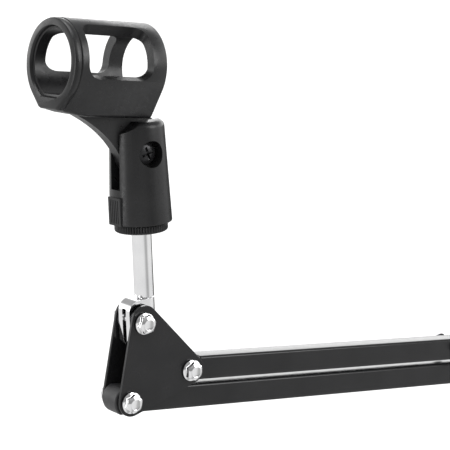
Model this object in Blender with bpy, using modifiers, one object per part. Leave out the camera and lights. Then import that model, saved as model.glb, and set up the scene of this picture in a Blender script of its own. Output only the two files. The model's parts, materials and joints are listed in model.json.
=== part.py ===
"""Desk-clamped scissor boom arm with a tilting microphone clip.

The arm lies in the XZ plane: the clamp is at the origin, the head is towards -X.
The origin is the centre of the clamp's upper jaw pad, where it bears on the desk.
All sizes are in metres.
"""

from math import acos, asin, atan2, cos, hypot, pi, radians, sin, tau

import bmesh
import bpy
from mathutils import Matrix, Vector

GAP = 0.0003                      # clearance between neighbouring pieces

# Arms
ARM = 0.330                       # pivot to pivot
LOWER_ANGLE = radians(62)         # lower arm, up from +X
UPPER_ANGLE = radians(171.8)      # upper arm, from the elbow towards the head
BAR = 0.010                       # square bar
BAR_WALL = 0.001
BAR_CORNER = 0.0013
PLUG_RADIUS = 0.0062              # rounded bar end, beyond the pivot
PLUG_HALF = 0.0055                # half its height
PLUG_SHOULDER = 0.006             # from the pivot to where the bar starts
TONGUE = 0.014                    # part of the plug inside the bar

# Side plates and bolts
PLATE = 0.0015
PLATE_INSIDE = 0.0054             # half the space between two plates
PLATE_OUTSIDE = PLATE_INSIDE + PLATE
PLATE_CORNER = 0.0065
HEAD_CORNER = 0.006               # tighter corners of the head plates
BOLT_RADIUS = 0.0025
HOLE_RADIUS = BOLT_RADIUS + GAP
FLANGE_RADIUS = 0.0044
FLANGE = 0.0012
HEX_RADIUS = 0.0038
HEX_HEIGHT = 0.0026

# Pivots as (x, z)
BASE_FRONT = Vector((-0.012, 0.066))
BASE_REAR = Vector((0.012, 0.066))
BASE_BOLT = Vector((0.0, 0.0495))
ELBOW_STEP = Vector((-0.002, 0.027))      # lower front pivot to upper front pivot
BAR_OFFSET = Vector((0.0299, 0.0075))     # bottom bar pivot to top bar pivot
FORK_OFFSET = Vector((0.0080, 0.0316))    # bottom bar pivot to fork pivot

# Springs
SPRING_RADIUS = 0.0038
SPRING_WIRE = 0.0006
SPRING_SIDE = 0.0123                      # distance of a spring from the arm's plane
HOOK_RADIUS = 0.0032
LOWER_STUD = (0.020, radians(125))        # distance and direction from the bar's pivot
UPPER_STUD = (0.016, radians(85))
LOWER_HOOK = 0.190                        # spring pin, from the bar's lower pivot
UPPER_HOOK = 0.1693
PIN_RADIUS = 0.0017
PIN_HEAD = 0.0030

# Fork and rod, from the fork pivot
ROD_RADIUS = 0.00405
ROD_X = 0.0052
FORK_LEFT = -0.0049
FORK_TOP = 0.0089
FORK_BOTTOM = -0.0115
FORK_SLOT = 0.00135
FORK_SLOT_TOP = 0.0055
SPIGOT_RADIUS = 0.0025

# Clip heights above the bottom bar's head pivot
RING_BOTTOM = 0.0680
RING_TOP = 0.0715
RING_RADIUS = 0.0109
CLIP_BOTTOM = 0.0718
CLIP_TOP = 0.1128
CLIP_BOTTOM_RADIUS = 0.01265
CLIP_TOP_RADIUS = 0.0106
SOCKET_TOP = 0.0836
SLOT_BOTTOM = 0.0862
SLOT_HALF = 0.0029
CLIP_YAW = radians(3)
CLIP_PIVOT = Vector((0.0010, 0.1002))     # (towards the mouth, height)
NECK_HALF = 0.0026
NECK_ROUND = 0.009
SCREW_HEAD_RADIUS = 0.0046
RECESS_RADIUS = 0.0053
RECESS_FLOOR = 0.0058
NUT_FLOOR = 0.0070

# Barrel, along its own axis
BARREL_TILT = radians(7.8)
BARREL_CENTRE = Vector((0.0, 0.1339))     # a point on the axis
BARREL_BACK = -0.0036
BARREL_FRONT = 0.0388
BARREL_RADIUS = 0.0172
BORE_RADIUS = 0.0130
BORE_FLOOR = 0.0120                       # flat floor below the axis
BLOCK_DEPTH = 0.0197
BLOCK_HALF = 0.0088
WINDOW_START = 0.0031
WINDOW_END = 0.0328
WINDOW_LOW = radians(-16)
WINDOW_HIGH = radians(62)
WINDOW_CORNER = 0.006

# Clamp
JAW_HALF_WIDTH = 0.015
JAW_TIP = -0.030
SPINE_INSIDE = 0.026
SPINE_OUTSIDE = 0.034
JAW_BOTTOM = 0.0018
JAW_TOP = 0.010
ARM_TOP = -0.070
ARM_BOTTOM = -0.080
ARM_TIP = -0.014
BOSS_RADIUS = 0.011
BOSS_TOP = 0.036
NUT_BOSS_RADIUS = 0.009
NUT_BOSS_TOP = -0.068
NUT_BOSS_BOTTOM = -0.084
CLAMP_SCREW_RADIUS = 0.004
PRESS_TOP = -0.028                        # top of the pressure pad at rest
PRESS_RADIUS = 0.013
KNOB_TOP = -0.112
KNOB_BOTTOM = -0.130
KNOB_RADIUS = 0.014
POST_RADIUS = 0.005
BUSH_RADIUS = 0.0072
POST_SEAT = 0.0378
LOCK_HEIGHT = 0.024


def direction(angle):
    return Vector((cos(angle), sin(angle)))


ELBOW_FRONT = BASE_FRONT + ARM * direction(LOWER_ANGLE)
ELBOW_REAR = BASE_REAR + ARM * direction(LOWER_ANGLE)
ELBOW_BOTTOM = ELBOW_FRONT + ELBOW_STEP
ELBOW_TOP = ELBOW_BOTTOM + BAR_OFFSET
HEAD_BOTTOM = ELBOW_BOTTOM + ARM * direction(UPPER_ANGLE)
HEAD_TOP = ELBOW_TOP + ARM * direction(UPPER_ANGLE)
FORK_PIVOT = HEAD_BOTTOM + FORK_OFFSET
ROD_AXIS = FORK_PIVOT.x + ROD_X

for leftover in list(bpy.data.objects):
    bpy.data.objects.remove(leftover)

parts = bpy.data.collections.new("boom_microphone_stand")
cutters = bpy.data.collections.new("cutters")
bpy.context.scene.collection.children.link(parts)
bpy.context.scene.collection.children.link(cutters)
cutters.hide_render = True


# Materials

def finish(name, colour, metallic, roughness):
    made = bpy.data.materials.new(name)
    made.use_nodes = True
    shader = made.node_tree.nodes["Principled BSDF"]
    shader.inputs["Base Color"].default_value = (*colour, 1)
    shader.inputs["Metallic"].default_value = metallic
    shader.inputs["Roughness"].default_value = roughness
    made.diffuse_color = (*colour, 1)
    return made


black_paint = finish("black_paint", (0.022, 0.022, 0.023), 0.0, 0.38)
chrome = finish("chrome", (0.86, 0.86, 0.87), 1.0, 0.08)
zinc = finish("zinc", (0.62, 0.62, 0.64), 1.0, 0.32)
spring_steel = finish("spring_steel", (0.05, 0.05, 0.055), 1.0, 0.35)
moulded_black = finish("moulded_black", (0.017, 0.017, 0.018), 0.0, 0.42)
rubber = finish("rubber", (0.015, 0.015, 0.015), 0.0, 0.8)
brass = finish("brass", (0.78, 0.6, 0.3), 1.0, 0.3)
nylon = finish("nylon", (0.08, 0.08, 0.085), 0.0, 0.5)


# Meshes

def smooth(mesh):
    mesh.shade_smooth()
    mesh.set_sharp_from_angle(angle=radians(35))
    return mesh


def from_bmesh(built, name):
    mesh = bpy.data.meshes.new(name)
    built.to_mesh(mesh)
    built.free()
    return smooth(mesh)


def box(name, low, high):
    built = bmesh.new()
    low, high = Vector(low), Vector(high)
    size = Matrix.Diagonal((high - low).to_4d())
    size[3][3] = 1
    bmesh.ops.create_cube(built, size=1, matrix=Matrix.Translation((low + high) / 2) @ size)
    return from_bmesh(built, name)


def cylinder(name, radius, start, end, sides=24, end_radius=None):
    """A cylinder or cone between two points."""
    built = bmesh.new()
    start, end = Vector(start), Vector(end)
    along = end - start
    turn = along.to_track_quat("Z", "Y").to_matrix().to_4x4()
    bmesh.ops.create_cone(
        built, cap_ends=True, segments=sides, radius1=radius,
        radius2=radius if end_radius is None else end_radius, depth=along.length,
        matrix=Matrix.Translation((start + end) / 2) @ turn,
    )
    return from_bmesh(built, name)


def arc(centre, radius, start, end, steps):
    """Points on a circle, both ends included."""
    turns = [start + (end - start) * i / steps for i in range(steps + 1)]
    return [(centre[0] + radius * cos(a), centre[1] + radius * sin(a)) for a in turns]


def around(centres, radius, steps=5):
    """The outline of a belt round several equal discs, anticlockwise."""
    hull = []
    for ordered in (sorted(map(tuple, centres)), sorted(map(tuple, centres), reverse=True)):
        side = []
        for place in ordered:
            while len(side) > 1 and turn_of(side[-2], side[-1], place) <= 0:
                side.pop()
            side.append(place)
        hull += side[:-1]
    points = []
    for i, here in enumerate(hull):
        last, following = hull[i - 1], hull[(i + 1) % len(hull)]
        start = atan2(here[1] - last[1], here[0] - last[0]) - pi / 2
        end = atan2(following[1] - here[1], following[0] - here[0]) - pi / 2
        points += arc(here, radius, start, start + (end - start) % tau, steps)
    return points


def turn_of(a, b, c):
    return (b[0] - a[0]) * (c[1] - a[1]) - (b[1] - a[1]) * (c[0] - a[0])


def rounded(corners, radius, steps=4):
    """A polygon with each corner rounded, by one radius or by one for each corner."""
    radii = radius if isinstance(radius, (list, tuple)) else [radius] * len(corners)
    points = []
    for i, corner in enumerate(corners):
        here = Vector(corner)
        to_last = (Vector(corners[i - 1]) - here).normalized()
        to_next = (Vector(corners[(i + 1) % len(corners)]) - here).normalized()
        if radii[i] == 0:
            points.append(tuple(here))
            continue
        half = to_last.angle(to_next) / 2
        middle = (to_last + to_next).normalized()
        centre = here + middle * (radii[i] / sin(half))
        first = here + to_last * (radii[i] * cos(half) / sin(half)) - centre
        last = here + to_next * (radii[i] * cos(half) / sin(half)) - centre
        start = atan2(first.y, first.x)
        sweep = (atan2(last.y, last.x) - start + pi) % tau - pi
        points += arc(centre, radii[i], start, start + sweep, steps)
    return points


def slab(name, outlines, low, high, plane="XZ"):
    """Flat outlines, the second one a hole in the first, thick from low to high.
    In plane XZ the thickness runs along Y, in XY along Z, and in YZ along X."""
    curve = bpy.data.curves.new(name, "CURVE")
    curve.dimensions = "2D"
    curve.fill_mode = "BOTH"
    curve.extrude = (high - low) / 2
    for outline in outlines:
        spline = curve.splines.new("POLY")
        spline.points.add(len(outline) - 1)
        for point, (a, b) in zip(spline.points, outline):
            point.co = (a, b, 0, 1)
        spline.use_cyclic_u = True
    drawn = bpy.data.objects.new(name, curve)
    cutters.objects.link(drawn)
    graph = bpy.context.evaluated_depsgraph_get()
    mesh = bpy.data.meshes.new_from_object(drawn.evaluated_get(graph))
    bpy.data.objects.remove(drawn)
    middle = (low + high) / 2
    if plane == "XZ":
        axes = Matrix(((1, 0, 0, 0), (0, 0, -1, middle), (0, 1, 0, 0), (0, 0, 0, 1)))
    elif plane == "YZ":
        axes = Matrix(((0, 0, 1, middle), (1, 0, 0, 0), (0, 1, 0, 0), (0, 0, 0, 1)))
    else:
        axes = Matrix.Translation((0, 0, middle))
    mesh.transform(axes)
    built = bmesh.new()
    built.from_mesh(mesh)
    bmesh.ops.remove_doubles(built, verts=built.verts, dist=1e-6)
    bmesh.ops.recalc_face_normals(built, faces=built.faces)
    bpy.data.meshes.remove(mesh)
    return from_bmesh(built, name)


def wire(name, points, radius):
    """A round wire through the points, with closed ends."""
    curve = bpy.data.curves.new(name, "CURVE")
    curve.dimensions = "3D"
    curve.bevel_depth = radius
    curve.bevel_resolution = 2
    curve.use_fill_caps = True
    spline = curve.splines.new("POLY")
    spline.points.add(len(points) - 1)
    for point, place in zip(spline.points, points):
        point.co = (*place, 1)
    drawn = bpy.data.objects.new(name, curve)
    cutters.objects.link(drawn)
    graph = bpy.context.evaluated_depsgraph_get()
    mesh = bpy.data.meshes.new_from_object(drawn.evaluated_get(graph))
    bpy.data.objects.remove(drawn)
    built = bmesh.new()
    built.from_mesh(mesh)
    bmesh.ops.remove_doubles(built, verts=built.verts, dist=1e-6)
    bpy.data.meshes.remove(mesh)
    return from_bmesh(built, name)


def turned(name, profile, sides=24):
    """A solid of revolution about Z from (radius, z) points, listed down the outer side
    and, for a hollow piece, back up the inner side to the first point."""
    mesh = bpy.data.meshes.new(name)
    points = [(r, 0, z) for r, z in profile]
    edges = [(i, i + 1) for i in range(len(points) - 1)]
    if profile[0][0] > 0 and profile[-1][0] > 0:
        edges.append((len(points) - 1, 0))
    mesh.from_pydata(points, edges, [])
    spun = bpy.data.objects.new(name, mesh)
    cutters.objects.link(spun)
    screw = spun.modifiers.new("turn", "SCREW")
    screw.steps = sides
    screw.render_steps = sides
    screw.use_merge_vertices = True
    screw.merge_threshold = 1e-5
    graph = bpy.context.evaluated_depsgraph_get()
    result = bpy.data.meshes.new_from_object(spun.evaluated_get(graph))
    bpy.data.objects.remove(spun)
    built = bmesh.new()
    built.from_mesh(result)
    bmesh.ops.remove_doubles(built, verts=built.verts, dist=1e-6)
    bmesh.ops.recalc_face_normals(built, faces=built.faces)
    bpy.data.meshes.remove(result)
    return from_bmesh(built, name)


def combine(base, *steps):
    """The mesh after each Boolean step, such as ("DIFFERENCE", other mesh)."""
    shape = bpy.data.objects.new(base.name, base)
    cutters.objects.link(shape)
    tools = []
    for operation, other in steps:
        tool = bpy.data.objects.new(other.name, other)
        tool.display_type = "WIRE"
        tool.hide_render = True
        cutters.objects.link(tool)
        tools.append(tool)
        boolean = shape.modifiers.new(operation.lower(), "BOOLEAN")
        boolean.operation = operation
        boolean.solver = "EXACT"
        boolean.object = tool
    bpy.context.view_layer.update()
    graph = bpy.context.evaluated_depsgraph_get()
    result = bpy.data.meshes.new_from_object(shape.evaluated_get(graph))
    result.name = base.name
    for done in (shape, *tools):
        bpy.data.objects.remove(done)
    return smooth(result)


# Objects

def pivot(name, at, parent=None, angle=0.0, yaw=0.0):
    """An empty at a joint, given as (x, y, z) in the world or in its parent.
    Its X axis points up from +X by angle, in the arm's plane."""
    empty = bpy.data.objects.new(name, None)
    empty.empty_display_size = 0.01
    empty.location = at
    empty.rotation_euler = (0, -angle, yaw)
    empty.parent = parent
    parts.objects.link(empty)
    return empty


def piece(name, mesh, look, parent=None, at=(0, 0, 0), turn=(0, 0, 0)):
    made = bpy.data.objects.new(name, mesh)
    if not mesh.materials:
        mesh.materials.append(look)
    made.location = at
    made.rotation_euler = turn
    made.parent = parent
    parts.objects.link(made)
    return made


def hole_through(name, at, radius, sides=16):
    """A cutter along Y, wide enough for any stack of plates."""
    return cylinder(name, radius, (at[0], -0.02, at[1]), (at[0], 0.02, at[1]), sides)


def flat(place, height=0.0):
    """A point in the arm's plane from an (x, z) pair."""
    return (place[0], 0.0, place[1] + height)


# Shared pieces

def bolt_mesh():
    """Flanged hexagon bolt through two plates, with its flanged nut."""
    seat = PLATE_OUTSIDE + GAP
    tip = seat + FLANGE + HEX_HEIGHT + 0.001
    shank = cylinder("bolt", BOLT_RADIUS, (0, -seat - FLANGE, 0), (0, tip, 0), 14)
    steps = []
    for side in (-1, 1):
        rim = side * (seat + FLANGE)
        flange = cylinder(
            "flange", FLANGE_RADIUS, (0, side * seat, 0), (0, rim, 0), 18, FLANGE_RADIUS * 0.93
        )
        hexagon = cylinder(
            "hexagon", HEX_RADIUS, (0, side * (seat + FLANGE / 2), 0),
            (0, rim + side * HEX_HEIGHT, 0), 6, HEX_RADIUS * 0.95,
        )
        steps += [("UNION", flange), ("UNION", hexagon)]
    return combine(shank, *steps)


def plug_mesh():
    """Rounded bar end: cap round the pivot, and a tongue that fills the bar."""
    half = BAR / 2
    clipped = asin(PLUG_HALF / PLUG_RADIUS)
    outline = arc((0, 0), PLUG_RADIUS, pi - clipped, pi + clipped, 12)
    outline += [(0.002, -PLUG_HALF), (PLUG_SHOULDER, -half), (PLUG_SHOULDER, half)]
    outline += [(0.002, PLUG_HALF)]
    cap = slab("plug", [outline], -half, half)
    inner = half - BAR_WALL - GAP
    tongue = box(
        "tongue", (PLUG_SHOULDER - 0.002, -inner, -inner), (PLUG_SHOULDER + TONGUE, inner, inner)
    )
    hole = hole_through("plug_hole", (0, 0), HOLE_RADIUS)
    return combine(cap, ("UNION", tongue), ("DIFFERENCE", hole))


def bar_mesh(name, pin_at=None):
    """Square tube along X between its two plugs, with a cross hole for a spring pin."""
    half = BAR / 2
    corners = [(-1, -1), (1, -1), (1, 1), (-1, 1)]
    outside = rounded([(half * a, half * b) for a, b in corners], BAR_CORNER)
    inner = half - BAR_WALL
    inside = rounded([(inner * a, inner * b) for a, b in corners], BAR_CORNER - BAR_WALL, 1)
    start = PLUG_SHOULDER + GAP
    tube = slab(name, [outside, inside], start, ARM - start, "YZ")
    if pin_at is None:
        return tube
    return combine(tube, ("DIFFERENCE", hole_through("pin_hole", (pin_at, 0), PIN_RADIUS + GAP)))


def pin_mesh():
    """Cross pin with a head at each end for the spring hooks."""
    reach = SPRING_SIDE + SPRING_WIRE + 0.0005
    shank = cylinder("pin", PIN_RADIUS, (0, -reach, 0), (0, reach, 0), 16)
    heads = []
    for side in (-1, 1):
        head = cylinder(
            "head", PIN_HEAD, (0, side * (reach - 0.0001), 0), (0, side * (reach + 0.0014), 0), 16
        )
        heads.append(("UNION", head))
    return combine(shank, *heads)


def stud_mesh(side):
    """Riveted stud on one plate, standing out to hold a spring's hook."""
    reach = SPRING_SIDE + SPRING_WIRE + 0.0005
    seat = PLATE_OUTSIDE + GAP
    shank = cylinder(
        "stud", PIN_RADIUS, (0, side * PLATE_INSIDE, 0), (0, side * reach, 0), 12
    )
    collar = cylinder("collar", PIN_HEAD, (0, side * seat, 0), (0, side * (seat + 0.001), 0), 12)
    head = cylinder(
        "head", PIN_HEAD, (0, side * (reach - 0.0001), 0), (0, side * (reach + 0.0014), 0), 12
    )
    return combine(shank, ("UNION", collar), ("UNION", head))


def spring_mesh(length):
    """Extension spring along X from hook centre to hook centre: the close coils are one
    cylinder, with a wire hook at each end."""
    coil = cylinder("spring", SPRING_RADIUS, (0.010, 0, 0), (length - 0.030, 0, 0), 12)
    near = [(x, 0, z) for x, z in arc((0, 0), HOOK_RADIUS, radians(-60), radians(-360), 7)]
    near += [(0.0065, 0, 0), (0.012, 0, 0)]
    far = [(length - x, 0, z) for x, z in arc((0, 0), HOOK_RADIUS, radians(-60), radians(-360), 7)]
    far += [(length - 0.0065, 0, 0), (length - 0.032, 0, 0)]
    return combine(
        coil,
        ("UNION", wire("near_hook", near, SPRING_WIRE)),
        ("UNION", wire("far_hook", far, SPRING_WIRE)),
    )


def plate_mesh(name, centres, origin, holes, corner=PLATE_CORNER):
    """Flat side plate round several centres, measured from origin."""
    outline = around([centre - origin for centre in centres], corner)
    blank = slab(name, [outline], -PLATE / 2, PLATE / 2)
    cuts = []
    for centre, radius in holes:
        cuts.append(("DIFFERENCE", hole_through("plate_hole", centre - origin, radius)))
    return combine(blank, *cuts)


def plate_pair(name, mesh, parent):
    middle = (PLATE_INSIDE + PLATE_OUTSIDE) / 2
    piece(name + "_near", mesh, black_paint, parent, (0, -middle, 0))
    piece(name + "_far", mesh, black_paint, parent, (0, middle, 0))


BOLT = bolt_mesh()
PLUG = plug_mesh()
PIN = pin_mesh()


def bolt(name, at, parent, origin=Vector((0, 0))):
    piece(name, BOLT, chrome, parent, flat(at - origin))


def bar(name, parent, pin_at=None):
    piece(name, bar_mesh(name, pin_at), black_paint, parent)
    piece(name + "_plug_lower", PLUG, moulded_black, parent)
    piece(name + "_plug_upper", PLUG, moulded_black, parent, (ARM, 0, 0), (0, pi, 0))


def studs(name, centre, parent):
    for side, word in ((-1, "near"), (1, "far")):
        piece(f"{name}_{word}", stud_mesh(side), zinc, parent, flat(centre))


def springs(name, start, end, parent_name):
    """A pair of springs, one on each side of the bars, from a stud to a pin."""
    run = end - start
    hinge = pivot(parent_name, flat(start), None, atan2(run.y, run.x))
    mesh = spring_mesh(run.length)
    for side, word in ((-1, "near"), (1, "far")):
        piece(f"{name}_{word}", mesh, spring_steel, hinge, (0, side * SPRING_SIDE, 0))


# Clamp

def clamp():
    half = JAW_HALF_WIDTH
    outline = rounded(
        [
            (JAW_TIP, JAW_BOTTOM), (SPINE_INSIDE, JAW_BOTTOM), (SPINE_INSIDE, ARM_TOP),
            (ARM_TIP, ARM_TOP), (ARM_TIP, ARM_BOTTOM), (SPINE_OUTSIDE, ARM_BOTTOM),
            (SPINE_OUTSIDE, JAW_TOP), (JAW_TIP, JAW_TOP),
        ],
        [0.002, 0.004, 0.004, 0.003, 0.003, 0.008, 0.006, 0.004],
    )
    frame = slab("clamp_frame", [outline], -half, half)
    boss = cylinder("boss", BOSS_RADIUS, (0, 0, JAW_TOP - 0.001), (0, 0, BOSS_TOP), 32)
    nut_boss = cylinder(
        "nut_boss", NUT_BOSS_RADIUS, (0, 0, NUT_BOSS_BOTTOM), (0, 0, NUT_BOSS_TOP), 28
    )
    socket = cylinder("socket", BUSH_RADIUS + GAP, (0, 0, 0.008), (0, 0, 0.05), 28)
    screw_hole = cylinder(
        "screw_hole", CLAMP_SCREW_RADIUS + GAP, (0, 0, -0.1), (0, 0, -0.05), 24
    )
    lock_hole = cylinder(
        "lock_hole", HOLE_RADIUS, (0, -0.02, LOCK_HEIGHT), (0, 0, LOCK_HEIGHT), 16
    )
    frame = combine(
        frame, ("UNION", boss), ("UNION", nut_boss), ("DIFFERENCE", socket),
        ("DIFFERENCE", screw_hole), ("DIFFERENCE", lock_hole),
    )
    piece("clamp_frame", frame, black_paint)
    pad = slab(
        "clamp_jaw_pad",
        [rounded([(-0.028, -0.013), (0.022, -0.013), (0.022, 0.013), (-0.028, 0.013)], 0.003)],
        0, JAW_BOTTOM - GAP, "XY",
    )
    piece("clamp_jaw_pad", pad, rubber)
    bush_bottom = 0.0083
    bush = turned(
        "socket_bush",
        [
            (POST_RADIUS + GAP, POST_SEAT - GAP), (0.0095, POST_SEAT - GAP),
            (0.0095, BOSS_TOP + GAP), (BUSH_RADIUS, BOSS_TOP + GAP),
            (BUSH_RADIUS, bush_bottom), (POST_RADIUS + GAP, bush_bottom),
        ],
    )
    bush_hole = cylinder(
        "bush_hole", HOLE_RADIUS, (0, -0.02, LOCK_HEIGHT), (0, 0, LOCK_HEIGHT), 16
    )
    piece("socket_bush", combine(bush, ("DIFFERENCE", bush_hole)), nylon)


def clamp_press():
    slide = pivot("clamp_plate_slide", (0, 0, PRESS_TOP))
    pad_thickness = 0.0015
    plate_top = -pad_thickness - GAP
    disc = 0.0032
    hub_radius = 0.0066
    hub = 0.0062
    pad = turned(
        "clamp_press_pad",
        [(0, 0), (PRESS_RADIUS - 0.001, 0), (PRESS_RADIUS - 0.001, -pad_thickness),
         (0, -pad_thickness)],
    )
    piece("clamp_press_pad", pad, rubber, slide)
    blind = CLAMP_SCREW_RADIUS + GAP
    hub_bottom = plate_top - disc - hub
    hole_top = hub_bottom + 0.0065
    plate = turned(
        "clamp_press_plate",
        [
            (0, plate_top), (PRESS_RADIUS, plate_top), (PRESS_RADIUS, plate_top - disc * 0.6),
            (PRESS_RADIUS - 0.001, plate_top - disc), (hub_radius, plate_top - disc),
            (hub_radius, hub_bottom), (blind, hub_bottom), (blind, hole_top), (0, hole_top),
        ],
    )
    piece("clamp_press_plate", plate, zinc, slide)
    screw_top = hole_top - GAP
    bore_top = KNOB_TOP - PRESS_TOP
    bore_end = bore_top - 0.012
    screw = turned(
        "clamp_screw",
        [
            (0, screw_top), (CLAMP_SCREW_RADIUS - 0.0008, screw_top),
            (CLAMP_SCREW_RADIUS, screw_top - 0.0008), (CLAMP_SCREW_RADIUS, bore_end + GAP),
            (0, bore_end + GAP),
        ],
        24,
    )
    turning = pivot("clamp_screw_turn", (0, 0, 0), slide)
    piece("clamp_screw", screw, zinc, turning)
    knob_bottom = KNOB_BOTTOM - PRESS_TOP
    lobes = 6
    outline = []
    for i in range(lobes * 8):
        angle = tau * i / (lobes * 8)
        outline.append(Vector((cos(angle), sin(angle))) * (KNOB_RADIUS + 0.0013 * cos(lobes * angle)))
    knob = slab("clamp_knob", [outline], knob_bottom, bore_top, "XY")
    bore = cylinder("knob_bore", blind, (0, 0, bore_end), (0, 0, bore_top + 0.01), 24)
    piece("clamp_knob", combine(knob, ("DIFFERENCE", bore)), moulded_black, turning)


def post_lock():
    axis = pivot("post_lock_turn", (0, 0, LOCK_HEIGHT))
    tip = -POST_RADIUS - GAP
    head = -BOSS_RADIUS - 0.0035
    shank = cylinder("post_lock_screw", BOLT_RADIUS, (0, tip, 0), (0, head, 0), 16)
    collar = cylinder("collar", 0.0045, (0, head + 0.001, 0), (0, head - 0.003, 0), 20)
    wings = slab(
        "wings", [around([(-0.0075, 0), (0.0075, 0)], 0.0045)], head - 0.012, head - 0.002
    )
    piece(
        "post_lock_screw", combine(shank, ("UNION", collar), ("UNION", wings)), moulded_black, axis
    )


# Base

def base():
    swivel = pivot("base_swivel", (0, 0, 0))
    block_top = BASE_FRONT.y - PLUG_RADIUS - 0.003
    seat_top = POST_SEAT + 0.002
    post = turned(
        "base_post",
        [
            (0, seat_top), (0.009, seat_top), (0.009, POST_SEAT), (POST_RADIUS, POST_SEAT),
            (POST_RADIUS, 0.0093), (POST_RADIUS - 0.0008, 0.0085), (0, 0.0085),
        ],
        28,
    )
    half = PLATE_INSIDE - GAP
    block = box("post_block", (-0.011, -half, seat_top - 0.001), (0.011, half, block_top))
    hole = hole_through("post_hole", BASE_BOLT, HOLE_RADIUS)
    piece("base_post", combine(post, ("UNION", block), ("DIFFERENCE", hole)), zinc, swivel)
    stud = BASE_FRONT + LOWER_STUD[0] * direction(LOWER_STUD[1])
    centres = [BASE_FRONT, BASE_REAR, BASE_BOLT]
    origin = Vector((0, 0))
    holes = [(centre, HOLE_RADIUS) for centre in centres] + [(stud, PIN_RADIUS + GAP)]
    plate_pair("base_plate", plate_mesh("base_plate", centres + [stud], origin, holes), swivel)
    bolt("base_bolt_front", BASE_FRONT, swivel)
    bolt("base_bolt_rear", BASE_REAR, swivel)
    bolt("base_bolt_post", BASE_BOLT, swivel)
    studs("base_spring_stud", stud, swivel)
    return stud


def lower_arm(stud):
    front = pivot("lower_arm_pitch", flat(BASE_FRONT), None, LOWER_ANGLE)
    bar("lower_bar_front", front, LOWER_HOOK)
    piece("lower_spring_pin", PIN, zinc, front, (LOWER_HOOK, 0, 0))
    rear = pivot("lower_arm_rear_pitch", flat(BASE_REAR), None, LOWER_ANGLE)
    bar("lower_bar_rear", rear)
    hook = BASE_FRONT + LOWER_HOOK * direction(LOWER_ANGLE)
    springs("lower_spring", stud, hook, "lower_spring_swing")


# Elbow

def elbow():
    level = pivot("elbow_level", flat(ELBOW_FRONT))
    stud = ELBOW_TOP + UPPER_STUD[0] * direction(UPPER_STUD[1])
    centres = [ELBOW_FRONT, ELBOW_REAR, ELBOW_BOTTOM, ELBOW_TOP]
    holes = [(centre, HOLE_RADIUS) for centre in centres] + [(stud, PIN_RADIUS + GAP)]
    mesh = plate_mesh("elbow_plate", centres + [stud], ELBOW_FRONT, holes)
    plate_pair("elbow_plate", mesh, level)
    names = ("lower_front", "lower_rear", "upper_bottom", "upper_top")
    for centre, word in zip(centres, names):
        bolt("elbow_bolt_" + word, centre, level, ELBOW_FRONT)
    studs("elbow_spring_stud", stud - ELBOW_FRONT, level)
    return stud


def upper_arm(stud):
    top = pivot("upper_arm_pitch", flat(ELBOW_TOP), None, UPPER_ANGLE)
    bar("upper_bar_top", top, UPPER_HOOK)
    piece("upper_spring_pin", PIN, zinc, top, (UPPER_HOOK, 0, 0))
    bottom = pivot("upper_arm_bottom_pitch", flat(ELBOW_BOTTOM), None, UPPER_ANGLE)
    bar("upper_bar_bottom", bottom)
    hook = ELBOW_TOP + UPPER_HOOK * direction(UPPER_ANGLE)
    springs("upper_spring", stud, hook, "upper_spring_swing")


# Head

def head():
    level = pivot("head_level", flat(HEAD_TOP))
    centres = [HEAD_BOTTOM, HEAD_TOP, FORK_PIVOT]
    holes = [(centre, HOLE_RADIUS) for centre in centres]
    outline = [
        HEAD_BOTTOM + Vector((0.0008, -0.0001)), HEAD_TOP + Vector((0.0005, 0)),
        FORK_PIVOT + Vector((0.0007, 0.0011)),
    ]
    mesh = plate_mesh("head_plate", outline, HEAD_TOP, holes, HEAD_CORNER)
    plate_pair("head_plate", mesh, level)
    bolt("head_bolt_bottom", HEAD_BOTTOM, level, HEAD_TOP)
    bolt("head_bolt_rear", HEAD_TOP, level, HEAD_TOP)
    bolt("head_bolt_fork", FORK_PIVOT, level, HEAD_TOP)
    inside = ROD_RADIUS + GAP
    outside = PLATE_INSIDE - GAP
    ring = cylinder("fork_washer", 0.0048, (0, inside, 0), (0, outside, 0), 24)
    ring = combine(ring, ("DIFFERENCE", hole_through("washer_hole", (0, 0), HOLE_RADIUS)))
    at = flat(FORK_PIVOT - HEAD_TOP)
    piece("fork_washer_far", ring, nylon, level, at)
    piece("fork_washer_near", ring, nylon, level, at, (0, 0, pi))


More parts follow.
